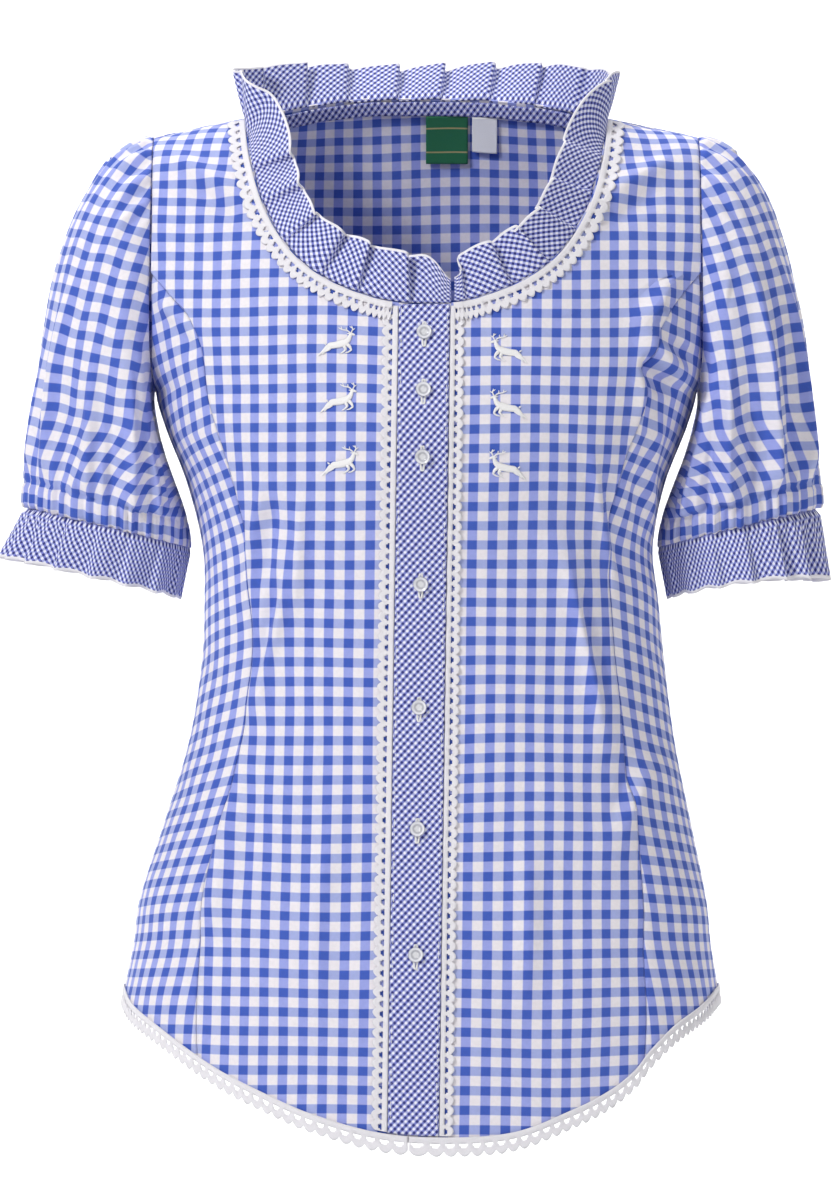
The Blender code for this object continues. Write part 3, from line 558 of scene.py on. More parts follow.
def checked_cotton(name, pitch, share, soft, colours, turn, roughness, edge=None):
    """Two-colour woven check on a piece's own UV map, in metres of cloth."""
    made, nodes, links, shader = new_material(name)
    blue, warp_colour, weft_colour, white = colours
    uv = nodes.new("ShaderNodeUVMap")
    mapping = nodes.new("ShaderNodeMapping")
    mapping.inputs["Rotation"].default_value[2] = turn
    links.new(uv.outputs["UV"], mapping.inputs["Vector"])
    parts = nodes.new("ShaderNodeSeparateXYZ")
    links.new(mapping.outputs["Vector"], parts.inputs[0])
    warp = stripe(nodes, links, parts.outputs[0], pitch[0], share, soft)
    weft = stripe(nodes, links, parts.outputs[1], pitch[1], share, soft)
    both = math_node(nodes, links, "MULTIPLY", warp, weft)
    colour = mix_colours(nodes, links, weft, white, weft_colour)
    colour = mix_colours(nodes, links, warp, colour, warp_colour)
    colour = mix_colours(nodes, links, both, colour, blue)

    slub = nodes.new("ShaderNodeTexNoise")
    slub.inputs["Scale"].default_value = 420.0
    slub.inputs["Detail"].default_value = 3.0
    links.new(mapping.outputs["Vector"], slub.inputs["Vector"])
    shade = nodes.new("ShaderNodeMapRange")
    shade.inputs["To Min"].default_value = 0.90
    shade.inputs["To Max"].default_value = 1.06
    links.new(slub.outputs["Fac"], shade.inputs["Value"])
    tone = nodes.new("ShaderNodeHueSaturation")
    links.new(shade.outputs["Result"], tone.inputs["Value"])
    links.new(colour, tone.inputs["Color"])
    colour = tone.outputs["Color"]

    if edge is not None:
        height, colour_at_edge = edge
        sides = nodes.new("ShaderNodeSeparateXYZ")
        links.new(uv.outputs["UV"], sides.inputs[0])
        band = nodes.new("ShaderNodeMapRange")
        band.inputs["From Min"].default_value = height - 0.0019
        band.inputs["From Max"].default_value = height - 0.0015
        links.new(sides.outputs[1], band.inputs["Value"])
        colour = mix_colours(nodes, links, band.outputs["Result"], colour, colour_at_edge)
    links.new(colour, shader.inputs["Base Color"])

    threads_u = math_node(nodes, links, "SINE", math_node(nodes, links, "MULTIPLY", parts.outputs[0], 9000.0))
    threads_v = math_node(nodes, links, "SINE", math_node(nodes, links, "MULTIPLY", parts.outputs[1], 9000.0))
    threads = math_node(nodes, links, "MULTIPLY", threads_u, threads_v)
    height = math_node(nodes, links, "MULTIPLY_ADD", slub.outputs["Fac"], 1.4, threads)
    bump = nodes.new("ShaderNodeBump")
    bump.inputs["Strength"].default_value = 0.25
    bump.inputs["Distance"].default_value = 0.00012
    links.new(height, bump.inputs["Height"])
    links.new(bump.outputs["Normal"], shader.inputs["Normal"])
    shader.inputs["Roughness"].default_value = roughness
    shader.inputs["Sheen Weight"].default_value = 0.12
    shader.inputs["Sheen Roughness"].default_value = 0.5
    shader.inputs["Specular IOR Level"].default_value = 0.25
    return made


def thread_finish(name, colour, scale, roughness=0.7, depth=0.00015):
    """Lace, satin stitch and tape: fine raised threads over an even colour."""
    made, nodes, links, shader = new_material(name)
    place = nodes.new("ShaderNodeTexCoord")
    fibres = nodes.new("ShaderNodeTexNoise")
    fibres.inputs["Scale"].default_value = scale
    fibres.inputs["Detail"].default_value = 4.0
    links.new(place.outputs["Object"], fibres.inputs["Vector"])
    low = tuple(channel * 0.86 for channel in colour)
    links.new(mix_colours(nodes, links, fibres.outputs["Fac"], low, colour), shader.inputs["Base Color"])
    bump = nodes.new("ShaderNodeBump")
    bump.inputs["Strength"].default_value = 0.5
    bump.inputs["Distance"].default_value = depth
    links.new(fibres.outputs["Fac"], bump.inputs["Height"])
    links.new(bump.outputs["Normal"], shader.inputs["Normal"])
    shader.inputs["Roughness"].default_value = roughness
    shader.inputs["Sheen Weight"].default_value = 0.15
    shader.inputs["Specular IOR Level"].default_value = 0.3
    return made


def pearl_and_painted_ring_shade_finish():
    made, nodes, links, shader = new_material("Pearl button")
    place = nodes.new("ShaderNodeTexCoord")
    clouds = nodes.new("ShaderNodeTexNoise")
    clouds.inputs["Scale"].default_value = 260.0
    links.new(place.outputs["Object"], clouds.inputs["Vector"])
    uv = nodes.new("ShaderNodeUVMap")
    parts = nodes.new("ShaderNodeSeparateXYZ")
    links.new(uv.outputs["UV"], parts.inputs[0])
    # Painted shade and highlight: by distance from the middle, the colour darkens round the inner ring and
    # down the outer edge and lightens on the raised rim, where light and shade fall on the button's relief
    rings = nodes.new("ShaderNodeValToRGB")
    ring_shade_stops = rings.color_ramp.elements
    ring_shade_stops[0].position, ring_shade_stops[0].color = 0.30, (0.82, 0.82, 0.85, 1.0)
    ring_shade_stops[1].position, ring_shade_stops[1].color = 1.00, (0.30, 0.33, 0.46, 1.0)
    for place_out, shade in ((0.48, 0.42), (0.60, 0.46), (0.70, 0.84), (0.88, 0.80), (0.95, 0.44)):
        stop = ring_shade_stops.new(place_out)
        stop.color = (shade, shade, shade + 0.05, 1.0)
    links.new(parts.outputs[0], rings.inputs["Fac"])
    shaded = mix_colours(nodes, links, 0.35, rings.outputs["Color"], (0.62, 0.63, 0.68))
    colour = mix_colours(nodes, links, clouds.outputs["Fac"], shaded, rings.outputs["Color"])
    links.new(colour, shader.inputs["Base Color"])
    shader.inputs["Roughness"].default_value = 0.18
    shader.inputs["Coat Weight"].default_value = 0.4
    shader.inputs["Coat Roughness"].default_value = 0.08
    return made


def tape_finish(name, colour, line_colour):
    """Plain woven tape with two thin lines across it, by height on its own UV map."""
    made, nodes, links, shader = new_material(name)
    uv = nodes.new("ShaderNodeUVMap")
    parts = nodes.new("ShaderNodeSeparateXYZ")
    links.new(uv.outputs["UV"], parts.inputs[0])
    line = stripe(nodes, links, parts.outputs[1], 0.5, 0.06, 0.01)
    base = mix_colours(nodes, links, line, colour, line_colour)
    weave = nodes.new("ShaderNodeTexNoise")
    weave.inputs["Scale"].default_value = 60.0
    links.new(uv.outputs["UV"], weave.inputs["Vector"])
    tone = nodes.new("ShaderNodeMapRange")
    tone.inputs["To Min"].default_value = 0.85
    tone.inputs["To Max"].default_value = 1.1
    links.new(weave.outputs["Fac"], tone.inputs["Value"])
    shaded = nodes.new("ShaderNodeHueSaturation")
    links.new(base, shaded.inputs["Color"])
    links.new(tone.outputs["Result"], shaded.inputs["Value"])
    links.new(shaded.outputs["Color"], shader.inputs["Base Color"])
    shader.inputs["Roughness"].default_value = 0.55
    return made


# Panels


def eased(share):
    return np.sin(share * math.pi / 2) ** 0.9


def closing_x(z, hand):
    return hand * (placket_x(z) - 0.010) + 0.0001


def shoulder_extra(theta, z, side, steps=24):
    """Cloth that lies over the shoulder's curve beyond its rise, so the check keeps its size there."""
    x = figure(theta, z, side)[..., 0]
    start = np.minimum(z, SHOULDER_CURVE_Z)
    length = np.zeros(z.shape)
    last = figure(theta_of(x, start), start, side)
    for k in range(1, steps + 1):
        level = blend(start, z, k / steps)
        here = figure(theta_of(x, level), level, side)
        length += np.linalg.norm(here - last, axis=-1)
        last = here
    return length - (z - start)


def panel_pattern(theta, z, side):
    """Metres of cloth from the middle of the piece and along it, a little pulled about by wear."""
    x = x_at(theta, z) * np.sign(theta)
    middle = theta_of(placket_x(z), z) if side < 0 else np.zeros_like(z)
    across = arc_length(theta, z, side) - arc_length(middle, z, side)
    along = z + 0.0016 * ripple(0.35 * x, 0.22 * z, 2.0 + side) + shoulder_extra(theta, z, side)
    return np.stack([across + 0.0005 * ripple(0.3 * x, 0.25 * z, 5.0), along], axis=-1)


def cloth_lengths(surface, columns=241, rows=81):
    """Lookup of cloth lengths: across from the middle column, and down from the last row."""
    u, v = np.meshgrid(np.linspace(0.0, 1.0, columns), np.linspace(0.0, 1.0, rows))
    points = surface(u.ravel(), v.ravel()).reshape(rows, columns, 3)
    across = np.linalg.norm(np.diff(points, axis=1), axis=2)
    across = np.concatenate([np.zeros((rows, 1)), np.cumsum(across, axis=1)], axis=1)
    across -= across[:, columns // 2][:, None]
    down = np.linalg.norm(np.diff(points, axis=0), axis=2)
    down = np.concatenate([np.zeros((1, columns)), np.cumsum(down, axis=0)], axis=0)
    down = down[-1][None, :] - down

    def look_up(u, v):
        column = np.clip(u * (columns - 1), 0, columns - 1.001)
        row = np.clip(v * (rows - 1), 0, rows - 1.001)
        i, j = column.astype(int), row.astype(int)
        a, b = column - i, row - j
        both = []
        for table in (across, down):
            upper = blend(table[j, i], table[j, i + 1], a)
            lower = blend(table[j + 1, i], table[j + 1, i + 1], a)
            both.append(blend(upper, lower, b))
        return both

    return look_up


def chest_row_z(share):
    """Height of the row of cloth that runs from the neck's lowest point to the long seam's top."""
    rise = (SEAM_START_Z - FRONT_NECK_Z) * np.sin(math.pi * np.clip(share, 0.0, 1.0) / 2)
    return FRONT_NECK_Z + rise - NECK_ROW_DIP * np.sin(math.pi * np.clip(share / 0.6, 0.0, 1.0))


def front_centre_place(hand):
    neck_level = np.array(FRONT_NECK_Z)
    first = float(theta_of(closing_x(neck_level, hand), neck_level))
    seam_z = np.linspace(-0.62, SEAM_START_Z, 900)
    seam_turn = seam_theta(seam_z)
    seam_low = hem_z(hand * seam_turn)
    seam_top = chest_row_z((seam_turn - first) / (1.0 - first))
    seam_place = np.maximum.accumulate((seam_z - seam_low) / (seam_top - seam_low))

    def place(u, v):
        share = np.minimum(v / LOWER_SHARE, 1.0)
        z_outer = np.interp(share, seam_place, seam_z)
        z_inner = blend(hem_height(0.0), FRONT_NECK_Z, share)
        low_theta = blend(theta_of(closing_x(z_inner, hand), z_inner), seam_theta(z_outer), u)
        top_z = chest_row_z((low_theta - first) / (1.0 - first))
        low_z = blend(hem_z(hand * low_theta), top_z, share)
        low_theta = low_theta - SEAM_INSET * u ** 8

        up = np.clip((v - LOWER_SHARE) / (1 - LOWER_SHARE), 0.0, 1.0)
        x_neck, z_neck = neckline_at(up)
        x_neck = np.maximum(x_neck, closing_x(z_neck, hand))
        across = blend(np.sin(math.pi * u / 2), u, smoothstep(up))
        dip = NECK_ROW_DIP * np.sin(math.pi * np.minimum(u / 0.6, 1.0))
        high_z = blend(z_neck, blend(SEAM_START_Z, SHOULDER_TIP_Z, eased(up)), across)
        high_z = high_z - dip * (1.0 - up) ** 1.5
        x = blend(x_neck, edge_x(high_z), u)
        high_z = np.minimum(high_z, shoulder_z(x) - RIDGE_DROP)
        low_style = blend(theta_of(x_neck, z_neck), 1.0, u)
        high_theta = blend(low_style, theta_of(x, high_z), smoothstep(up / 0.4)) - SEAM_INSET * u ** 8

        lower = v <= LOWER_SHARE + 1e-6
        theta = hand * np.where(lower, low_theta, high_theta)
        z = np.where(lower, low_z, high_z)
        dipping = -0.0007 * np.exp(-(((1.0 - u) / 0.012) ** 2))
        points = on_body(theta, z, -1, seam_dip=dipping)
        return points, panel_pattern(theta, z, -1)

    return place


def front_side_place(hand):
    seam_hem_z = float(hem_z(np.array([hand * theta_of(SEAM_HEM_X, np.array(HEM_SIDE_Z))]))[0])

    def place(u, v):
        z_seam = blend(seam_hem_z, SEAM_START_Z - 0.0015, v)
        inner = np.minimum(seam_theta(z_seam) + SEAM_INSET, 1.0)
        theta = blend(inner, 1.0, u)
        z = blend(hem_z(hand * theta), blend(SEAM_START_Z - 0.0015, UNDERARM_Z, u), v)
        at_seam = blend(hem_z(hand * inner), np.full_like(u, SEAM_START_Z - 0.0015), v)
        z = z + (z_seam - at_seam) * (1.0 - u) ** 5
        dipping = -0.0007 * np.exp(-((u / 0.03) ** 2))
        points = on_body(hand * theta, z, -1, seam_dip=dipping)
        points[:, 1] -= 0.0001 * (u >= 0.9999)
        edge = np.full_like(z, hand * 1.0)
        across = arc_length(hand * theta, z, -1) - arc_length(edge, np.minimum(z, -0.20), -1)
        out = np.abs(arc_length(hand * theta, z, -1)) - 0.12
        x = x_at(theta, z) * hand
        slant = 0.24 * smoothstep((z + 0.60) / 0.25)
        along = z + slant * out + 0.0012 * ripple(0.4 * x, 0.25 * z, 1.0)
        return points, np.stack([across, along], axis=-1)

    return place


def back_column_x(across):
    share = np.abs(across) / BACK_NECK_SHARE
    outer = blend(NECK_POINT_X, SHOULDER_TIP_X, (np.abs(across) - BACK_NECK_SHARE) / (1 - BACK_NECK_SHARE))
    return np.where(share <= 1.0, share * NECK_POINT_X, outer)


def back_top_z(x):
    x = np.abs(x)
    neck = BACK_NECK_Z * (1.0 - (np.minimum(x, NECK_POINT_X) / NECK_POINT_X) ** 2.6)
    return np.where(x >= NECK_POINT_X - 0.0001, shoulder_z(x) - RIDGE_DROP, neck)


def back_place(u, v):
    across = 2.0 * u - 1.0
    low_share = np.minimum(v / LOWER_SHARE, 1.0)
    low_z = blend(hem_z(across), FRONT_NECK_Z, low_share)
    up = eased(np.clip((v - LOWER_SHARE) / (1 - LOWER_SHARE), 0.0, 1.0))
    x_top = back_column_x(across)
    high_z = blend(FRONT_NECK_Z, back_top_z(x_top), up)
    start = x_at(across, np.full_like(across, FRONT_NECK_Z))
    high_theta = np.copysign(theta_of(blend(start, x_top, up), high_z), across)
    lower = v <= LOWER_SHARE
    theta = np.where(lower, across, high_theta)
    z = np.where(lower, low_z, high_z)
    points = on_body(theta, z, 1)
    points[:, 1] += 0.0001 * (np.abs(across) >= 0.9999)
    return points, panel_pattern(theta, z, 1)


# Sleeves and cuffs


def armhole(angle):
    turn = np.mod(angle, 2 * math.pi)
    front = turn <= math.pi
    share = np.where(front, turn / math.pi, 2.0 - turn / math.pi)
    z = blend(SHOULDER_TIP_Z, UNDERARM_Z, (1.0 - np.cos(share * math.pi)) / 2)
    ones = np.ones_like(z)
    return np.where(front[..., None], figure(ones, z, -1), figure(ones, z, 1))


def cuff(hand, angle, drop, grow):
    across = np.array([math.cos(CUFF_TILT), 0.0, math.sin(CUFF_TILT)])
    down = np.array([math.sin(CUFF_TILT), 0.0, -math.cos(CUFF_TILT)])
    drop = np.asarray(drop, float) + np.zeros_like(angle)
    grow = np.asarray(grow, float) + np.zeros_like(angle)
    centre = np.array([CUFF_X[hand], 0.0, CUFF_Z]) + down * drop[..., None]
    centre = centre + across * (grow * 0.35)[..., None]
    wide = (CUFF_HALF_WIDTH[hand] + grow) * np.cos(angle)
    deep = (CUFF_HALF_DEPTH + grow) * np.sin(angle)
    return centre + across * wide[..., None] + np.array([0.0, -1.0, 0.0]) * deep[..., None]


def sleeve_plain(hand, angle, share):
    outer = (1.0 + np.cos(angle)) / 2
    front = np.sin(angle)
    zero = np.zeros_like(angle)
    start = armhole(angle) + np.stack([ARMHOLE_GAP + UNDERARM_GAP * (1.0 - outer), zero, zero], axis=-1)
    end = cuff(hand, angle, 0.0, 0.0)
    lead = np.stack([
        blend(0.004, 0.055, outer ** 1.3),
        -0.020 * front,
        -0.006 - 0.024 * (1 - outer),
    ], axis=-1)
    tail = np.stack([-0.004 * outer, -0.026 * front, blend(0.030, 0.115, outer)], axis=-1)
    t = share[..., None]
    a = 1.0 - t
    return start * a ** 3 + (start + lead) * (3 * a * a * t) + (end + tail) * (3 * a * t * t) + end * t ** 3


def angle_gap(angle, centre):
    return np.mod(angle - centre + math.pi, 2 * math.pi) - math.pi


# Large sleeve folds: angle from the outer fold line, half width, start and end share, height
SLEEVE_FOLDS = {
    1: (
        (0.55, 0.085, 0.42, 0.95, 0.0048),
        (0.82, 0.070, 0.55, 0.95, -0.0030),
        (1.12, 0.090, 0.30, 0.95, 0.0055),
        (1.42, 0.075, 0.52, 0.95, -0.0034),
        (1.72, 0.090, 0.36, 0.95, 0.0050),
        (2.02, 0.075, 0.50, 0.95, -0.0028),
        (2.30, 0.090, 0.45, 0.95, 0.0034),
        (0.22, 0.070, 0.60, 0.95, -0.0024),
        (1.50, 0.110, 0.02, 0.30, 0.0018),
        (-0.60, 0.090, 0.40, 0.95, 0.0046),
        (-1.05, 0.080, 0.50, 0.95, -0.0030),
        (-1.45, 0.100, 0.35, 0.95, 0.0050),
        (-1.95, 0.090, 0.45, 0.95, 0.0038),
    ),
    -1: (
        (0.35, 0.080, 0.62, 0.95, 0.0030),
        (0.72, 0.090, 0.40, 0.95, 0.0036),
        (1.00, 0.070, 0.60, 0.95, -0.0022),
        (1.32, 0.090, 0.48, 0.95, 0.0034),
        (1.62, 0.075, 0.60, 0.95, -0.0024),
        (1.92, 0.090, 0.34, 0.95, 0.0040),
        (2.25, 0.085, 0.50, 0.95, 0.0028),
        (-0.50, 0.090, 0.45, 0.95, 0.0040),
        (-0.95, 0.080, 0.55, 0.95, -0.0026),
        (-1.40, 0.100, 0.40, 0.95, 0.0044),
        (-1.90, 0.090, 0.50, 0.95, 0.0034),
    ),
}


def sleeve_relief(hand, angle, share, to_cuff):
    """Folds and gathers of a sleeve; to_cuff is the length of cloth below, down to the cuff seam."""
    outer = (1.0 + np.cos(angle)) / 2
    calm = blend(0.12, 1.0, smoothstep((outer - 0.01) / 0.20))
    casing = 1.0 - smoothstep((to_cuff - CASING_HEIGHT + 0.0010) / 0.0030)
    height = np.zeros(angle.shape)
    for centre, half_width, start, end, peak in SLEEVE_FOLDS[hand]:
        reach = smoothstep((share - start) / 0.35) * smoothstep((end - share) / 0.06)
        height += 1.7 * peak * reach * np.exp(-((angle_gap(angle, centre) / half_width) ** 2))
    height *= 1.0 - 0.75 * casing
    draw = np.random.default_rng(31 + hand)
    gathers = 34
    for k in range(gathers):
        centre = 2 * math.pi * (k + 0.7 * draw.random()) / gathers
        peak = 0.0012 + 0.0024 * draw.random()
        length = 0.022 + 0.060 * draw.random() ** 2
        reach = 1.0 - smoothstep((to_cuff - CASING_HEIGHT) / length)
        height += peak * reach * np.exp(-((angle_gap(angle, centre) / 0.042) ** 2))
    height += 0.0010 * casing * np.sin(58 * angle + 2.0 * np.sin(3 * angle))
    height -= 0.0017 * np.exp(-(((to_cuff - CASING_HEIGHT) / 0.0016) ** 2))
    height -= 0.0012 * np.exp(-((to_cuff / 0.0014) ** 2))
    cap = smoothstep(share / 0.03) * (1.0 - smoothstep((share - 0.05) / 0.30))
    cap = cap * smoothstep((outer - 0.55) / 0.25)
    height += 0.0020 * cap * np.sin(26 * angle + 1.5 * np.sin(5 * angle))
    height -= 0.0006 * np.exp(-((share / 0.012) ** 2))
    ease = smoothstep(share / 0.1) * (1.0 - 0.6 * casing)
    height += 0.0010 * ease * ripple(0.12 * angle, 0.25 * share, 1.7 * hand)
    return height * calm


def sleeve_place(hand):
    lengths = cloth_lengths(lambda u, v: sleeve_plain(hand, 2 * math.pi * u + math.pi, v))
    tilt = CUFF_TILT + 0.03
    across_way = np.array([math.cos(tilt), 0.0, math.sin(tilt)])
    down_way = np.array([math.sin(tilt), 0.0, -math.cos(tilt)])
    line = sleeve_plain(hand, np.zeros(200), np.linspace(0.0, 1.0, 200))
    line_down, line_across = line @ down_way, line @ across_way

    def place(u, v):
        angle = 2 * math.pi * u + math.pi
        share = v
        point = sleeve_plain(hand, angle, share)
        _, to_cuff = lengths(u, v)
        step = 0.02
        around = sleeve_plain(hand, angle + step, share) - sleeve_plain(hand, angle - step, share)
        near = np.minimum(share + step, 1.0)
        along = sleeve_plain(hand, angle, near) - sleeve_plain(hand, angle, near - 2 * step)
        normal = unit(np.cross(around, along))
        centre = np.stack([np.full_like(u, CUFF_X[hand]), np.zeros_like(u), point[:, 2]], axis=-1)
        facing = np.sum(normal * (point - centre), axis=-1)
        normal = np.where(facing[:, None] < 0, -normal, normal)

        down = point @ down_way
        inward = np.interp(down, line_down, line_across) - point @ across_way
        turned = np.arccos(np.clip(1.0 - inward / SLEEVE_ROUND, -1.0, 1.0))
        gathered = 1.0 + 0.28 * (1.0 - smoothstep((to_cuff - 0.012) / 0.06))
        across = np.where(angle < 2 * math.pi, -1.0, 1.0) * SLEEVE_ROUND * turned * gathered * hand
        rows = -down + 0.0014 * ripple(0.1 * angle, 0.2 * share) + 0.004 * np.sin(angle + 0.6)
        point = point + normal * sleeve_relief(hand, angle, share, to_cuff)[:, None]
        point[:, 0] *= hand
        return point, np.stack([across, rows], axis=-1)

    return place


def cuff_ruffle_place(hand):
    draw = np.random.default_rng(77 + hand)
    heights = 0.75 + 0.5 * draw.random(CUFF_RUFFLE_WAVES)
    shifts = 0.9 * (draw.random(CUFF_RUFFLE_WAVES) - 0.5)

    def place(u, v):
        angle = 2 * math.pi * u
        outer = (1.0 + np.cos(angle)) / 2
        ring = np.linspace(0, 2 * math.pi, CUFF_RUFFLE_WAVES + 1)
        size = np.interp(angle, ring, np.append(heights, heights[0]))
        shift = np.interp(angle, ring, np.append(shifts, shifts[0]))
        droop = CUFF_RUFFLE_DROOP[hand] * outer ** 2
        phase = CUFF_RUFFLE_WAVES * angle + math.pi / 4 + shift
        wave = np.sin(phase + 0.45 * np.sin(phase))
        grow = (CUFF_RUFFLE_FLARE - droop * 0.4) * v * blend(0.15, 1.0, outer)
        grow = grow + CUFF_RUFFLE_DEPTH * size * wave * v ** 0.8 * blend(0.6, 1.0, outer)
        grow = grow + 0.0006 * np.sin(3 * phase) * (1 - v) * smoothstep(v / 0.1)
        lean = 0.02 * np.cos(phase) * v * blend(0.4, 1.0, outer)
        height = CUFF_RUFFLE_HEIGHT * (1.0 + 0.03 * np.sin(phase + 1.0))
        tucked = 1.0 - smoothstep(v / 0.10)
        point = cuff(hand, angle + lean, 0.0003 + height * v - 0.0022 * tucked, grow - 0.0024 * tucked)
        point += np.stack([-0.25 * droop * v, np.zeros_like(u), -droop * v], axis=-1)
        point[:, 0] *= hand
        pattern = np.stack([0.080 * angle, CUFF_RUFFLE_HEIGHT * v], axis=-1)
        return point, pattern

    return place


# Neck ruffle


def neck_seam(samples=1400):
    """Evenly spaced points of the neck seam with the ruffle's direction at each."""
    front = np.linspace(NECK_RUFFLE_END_X, -0.008, 12)
    shares = np.linspace(0.07, 1.0, 120)
    x_rise, z_rise = neckline_at(shares)
    back_x = NECK_POINT_X * np.sin(np.linspace(-math.pi / 2, math.pi / 2, 160))[1:-1]
    left_x, left_z = neckline_at(shares[::-1])
    keep = left_x > NECK_RUFFLE_END_X + 0.0018
    xs = np.concatenate([front, -x_rise, back_x, left_x[keep]])
    zs = np.concatenate([np.full(12, FRONT_NECK_Z), z_rise, back_top_z(back_x), left_z[keep]])
    sides = np.concatenate([np.full(12, -1), np.full(120, -1), np.full(158, 1), np.full(keep.sum(), -1)])
    zs = np.minimum(zs, shoulder_z(xs))
    theta = theta_of(xs, zs)
    points = np.where((sides > 0)[:, None], figure(theta, zs, 1), figure(theta, zs, -1))
    lengths = np.concatenate([[0.0], np.cumsum(np.linalg.norm(np.diff(points, axis=0), axis=1))])
    at = np.linspace(0.0, lengths[-1], samples)
    even = np.stack([np.interp(at, lengths, points[:, k]) for k in range(3)], axis=-1)
    behind = np.interp(at, lengths, (sides > 0).astype(float)) > 0.5
    kernel = np.hanning(41)
    kernel /= kernel.sum()

    def soften(values):
        padded = np.concatenate([np.repeat(values[:1], 20, 0), values, np.repeat(values[-1:], 20, 0)])
        return np.stack([np.convolve(padded[:, k], kernel, "valid") for k in range(values.shape[1])], axis=-1)

    tangent = unit(soften(np.gradient(even, axis=0)))
    across = unit(np.stack([-tangent[:, 2], np.zeros(samples), tangent[:, 0]], axis=-1))
    x = even[:, 0]
    wide = np.abs(x) > 0.03
    wrong = np.where(wide, across[:, 0] * x > 0.0, across[:, 2] < 0.0)
    across = np.where(wrong[:, None], -across, across)
    across[:, 0] *= smoothstep((np.abs(x) - 0.014) / 0.030)
    across = unit(across)
    across[:, 1] = -0.5 * smoothstep((np.abs(x) - 0.06) / 0.03)
    lean = np.where(behind, NECK_RUFFLE_LEAN * (1.0 - (x / NECK_POINT_X) ** 2), 0.0)
    upright = unit(np.stack([x * 0.42, lean, np.full(samples, 0.28)], axis=-1))
    share = np.where(behind, 1.0, smoothstep((even[:, 2] + 0.034) / 0.034))
    direction = unit(soften(unit(blend(across, upright, share[:, None]))))
    return even, tangent, direction, lengths[-1]


def pleat_profile():
    """One uneven pleat: place along the seam and depth, with the fold lapping back on itself."""
    corners = np.array([(0.0, 0.0, -1.0), (0.10, 0.05, -0.95), (0.42, 0.62, 0.1), (0.72, 1.14, 0.95),
                        (0.79, 1.17, 0.60), (0.90, 1.00, -0.55), (1.0, 1.0, -1.0)])
    fine = np.linspace(-1.0, 2.0, 901)
    turn = np.floor(fine)
    part = fine - turn
    along = np.interp(part, corners[:, 0], corners[:, 1]) + turn
    depth = np.interp(part, corners[:, 0], corners[:, 2])
    kernel = np.hanning(31)
    kernel /= kernel.sum()
    along = np.convolve(along - fine, kernel, "same") + fine
    depth = np.convolve(depth, kernel, "same")
    inner = slice(300, 601)
    return fine[inner], along[inner] - fine[inner], depth[inner]


def neck_ruffle_place():
    seam, tangent, direction, length = neck_seam()
    marks = np.linspace(0.0, 1.0, len(seam))
    draw = np.random.default_rng(5)
    knots = np.linspace(0.0, 1.0, NECK_RUFFLE_WAVES + 2)
    sizes = 0.65 + 0.6 * draw.random(NECK_RUFFLE_WAVES + 2)
    laps = 0.35 + 0.65 * draw.random(NECK_RUFFLE_WAVES + 2)
    shifts = 0.28 * (draw.random(NECK_RUFFLE_WAVES + 2) - 0.5)
    turns, slides, depths = pleat_profile()
    pitch = length / NECK_RUFFLE_WAVES

    def surface(u, v):
        point = np.stack([np.interp(u, marks, seam[:, k]) for k in range(3)], axis=-1)
        along = unit(np.stack([np.interp(u, marks, tangent[:, k]) for k in range(3)], axis=-1))
        up = unit(np.stack([np.interp(u, marks, direction[:, k]) for k in range(3)], axis=-1))
        out = unit(np.cross(along, up))
        size = np.interp(u, knots, sizes)
        lap = np.interp(u, knots, laps)
        turn = np.mod(NECK_RUFFLE_WAVES * u + np.interp(u, knots, shifts), 1.0)
        near_end = smoothstep(np.minimum(u, 1.0 - u) / 0.02)
        spread = 0.22 + 0.78 * v ** 0.8
        depth = NECK_RUFFLE_DEPTH * 0.85 * size * spread * np.interp(turn, turns, depths) * near_end
        slide = pitch * 0.75 * lap * np.interp(turn, turns, slides) * near_end * (0.45 + 0.55 * v)
        height = NECK_RUFFLE_HEIGHT * blend(0.55, 1.0, near_end)
        height = height * (1.0 + 0.035 * np.sin(2 * math.pi * turn) + 0.03 * np.sin(23 * u))
        curl = 0.003 * v * v
        tucked = 0.0020 * smoothstep(point[:, 1] / 0.02) * (1.0 - smoothstep(v / 0.12))
        point = point + up * (RUFFLE_START + height * v - curl - tucked)[:, None]
        return point + out * (depth - 0.15 * depth * v)[:, None] + along * slide[:, None]

    lengths = cloth_lengths(surface, 1441, 3)

    def place(u, v):
        across, _ = lengths(u, np.full_like(v, 0.6))
        return surface(u, v), np.stack([across, NECK_RUFFLE_HEIGHT * v], axis=-1)

    return place


# Lace

LACE_CELL = 8
LACE_ROWS = 9


def lace_piece(name, node, length, locate, width, away_from, offset=1.0, band=0.30):
    """A strip of eyelet lace: locate(s, w) gives points at s along and w across, in shares."""
    cells = max(round(length / LACE_PITCH), 2)
    columns = cells * LACE_CELL

    def place(u, v):
        phase = np.mod(u * cells, 1.0)
        point_out = np.sin(math.pi * phase) ** 0.8
        scallop = 1.0 - 0.26 * (1.0 - point_out) * smoothstep((v - 0.50) / 0.50)
        hump = 0.00030 * (v < band) + 0.00025 * (v > 0.74)
        points = locate(u, v * scallop, hump)
        return points, np.stack([u * length, v * width], axis=-1)

    piece = grid_piece(name, columns, LACE_ROWS, place, away_from)
    open_eyelets(piece, columns)
    turn_outward(piece, away_from)
    thicken(piece, LACE_WALL, offset)
    return finish_piece(piece, LACE, "lace", node)


def open_eyelets(piece, columns):
    """Takes out the upright oval eyelet of each repeat."""
    shape = bmesh.new()
    shape.from_mesh(piece.data)
    shape.faces.ensure_lookup_table()
    doomed = []
    for number, face in enumerate(shape.faces):
        column = number % columns % LACE_CELL
        row = number // columns
        if (row == 3 and column in (1, 2, 3, 4, 5)) or (row == 4 and column in (2, 3, 4)):
            doomed.append(face)
    bmesh.ops.delete(shape, geom=doomed, context="FACES")
    shape.to_mesh(piece.data)
    shape.free()


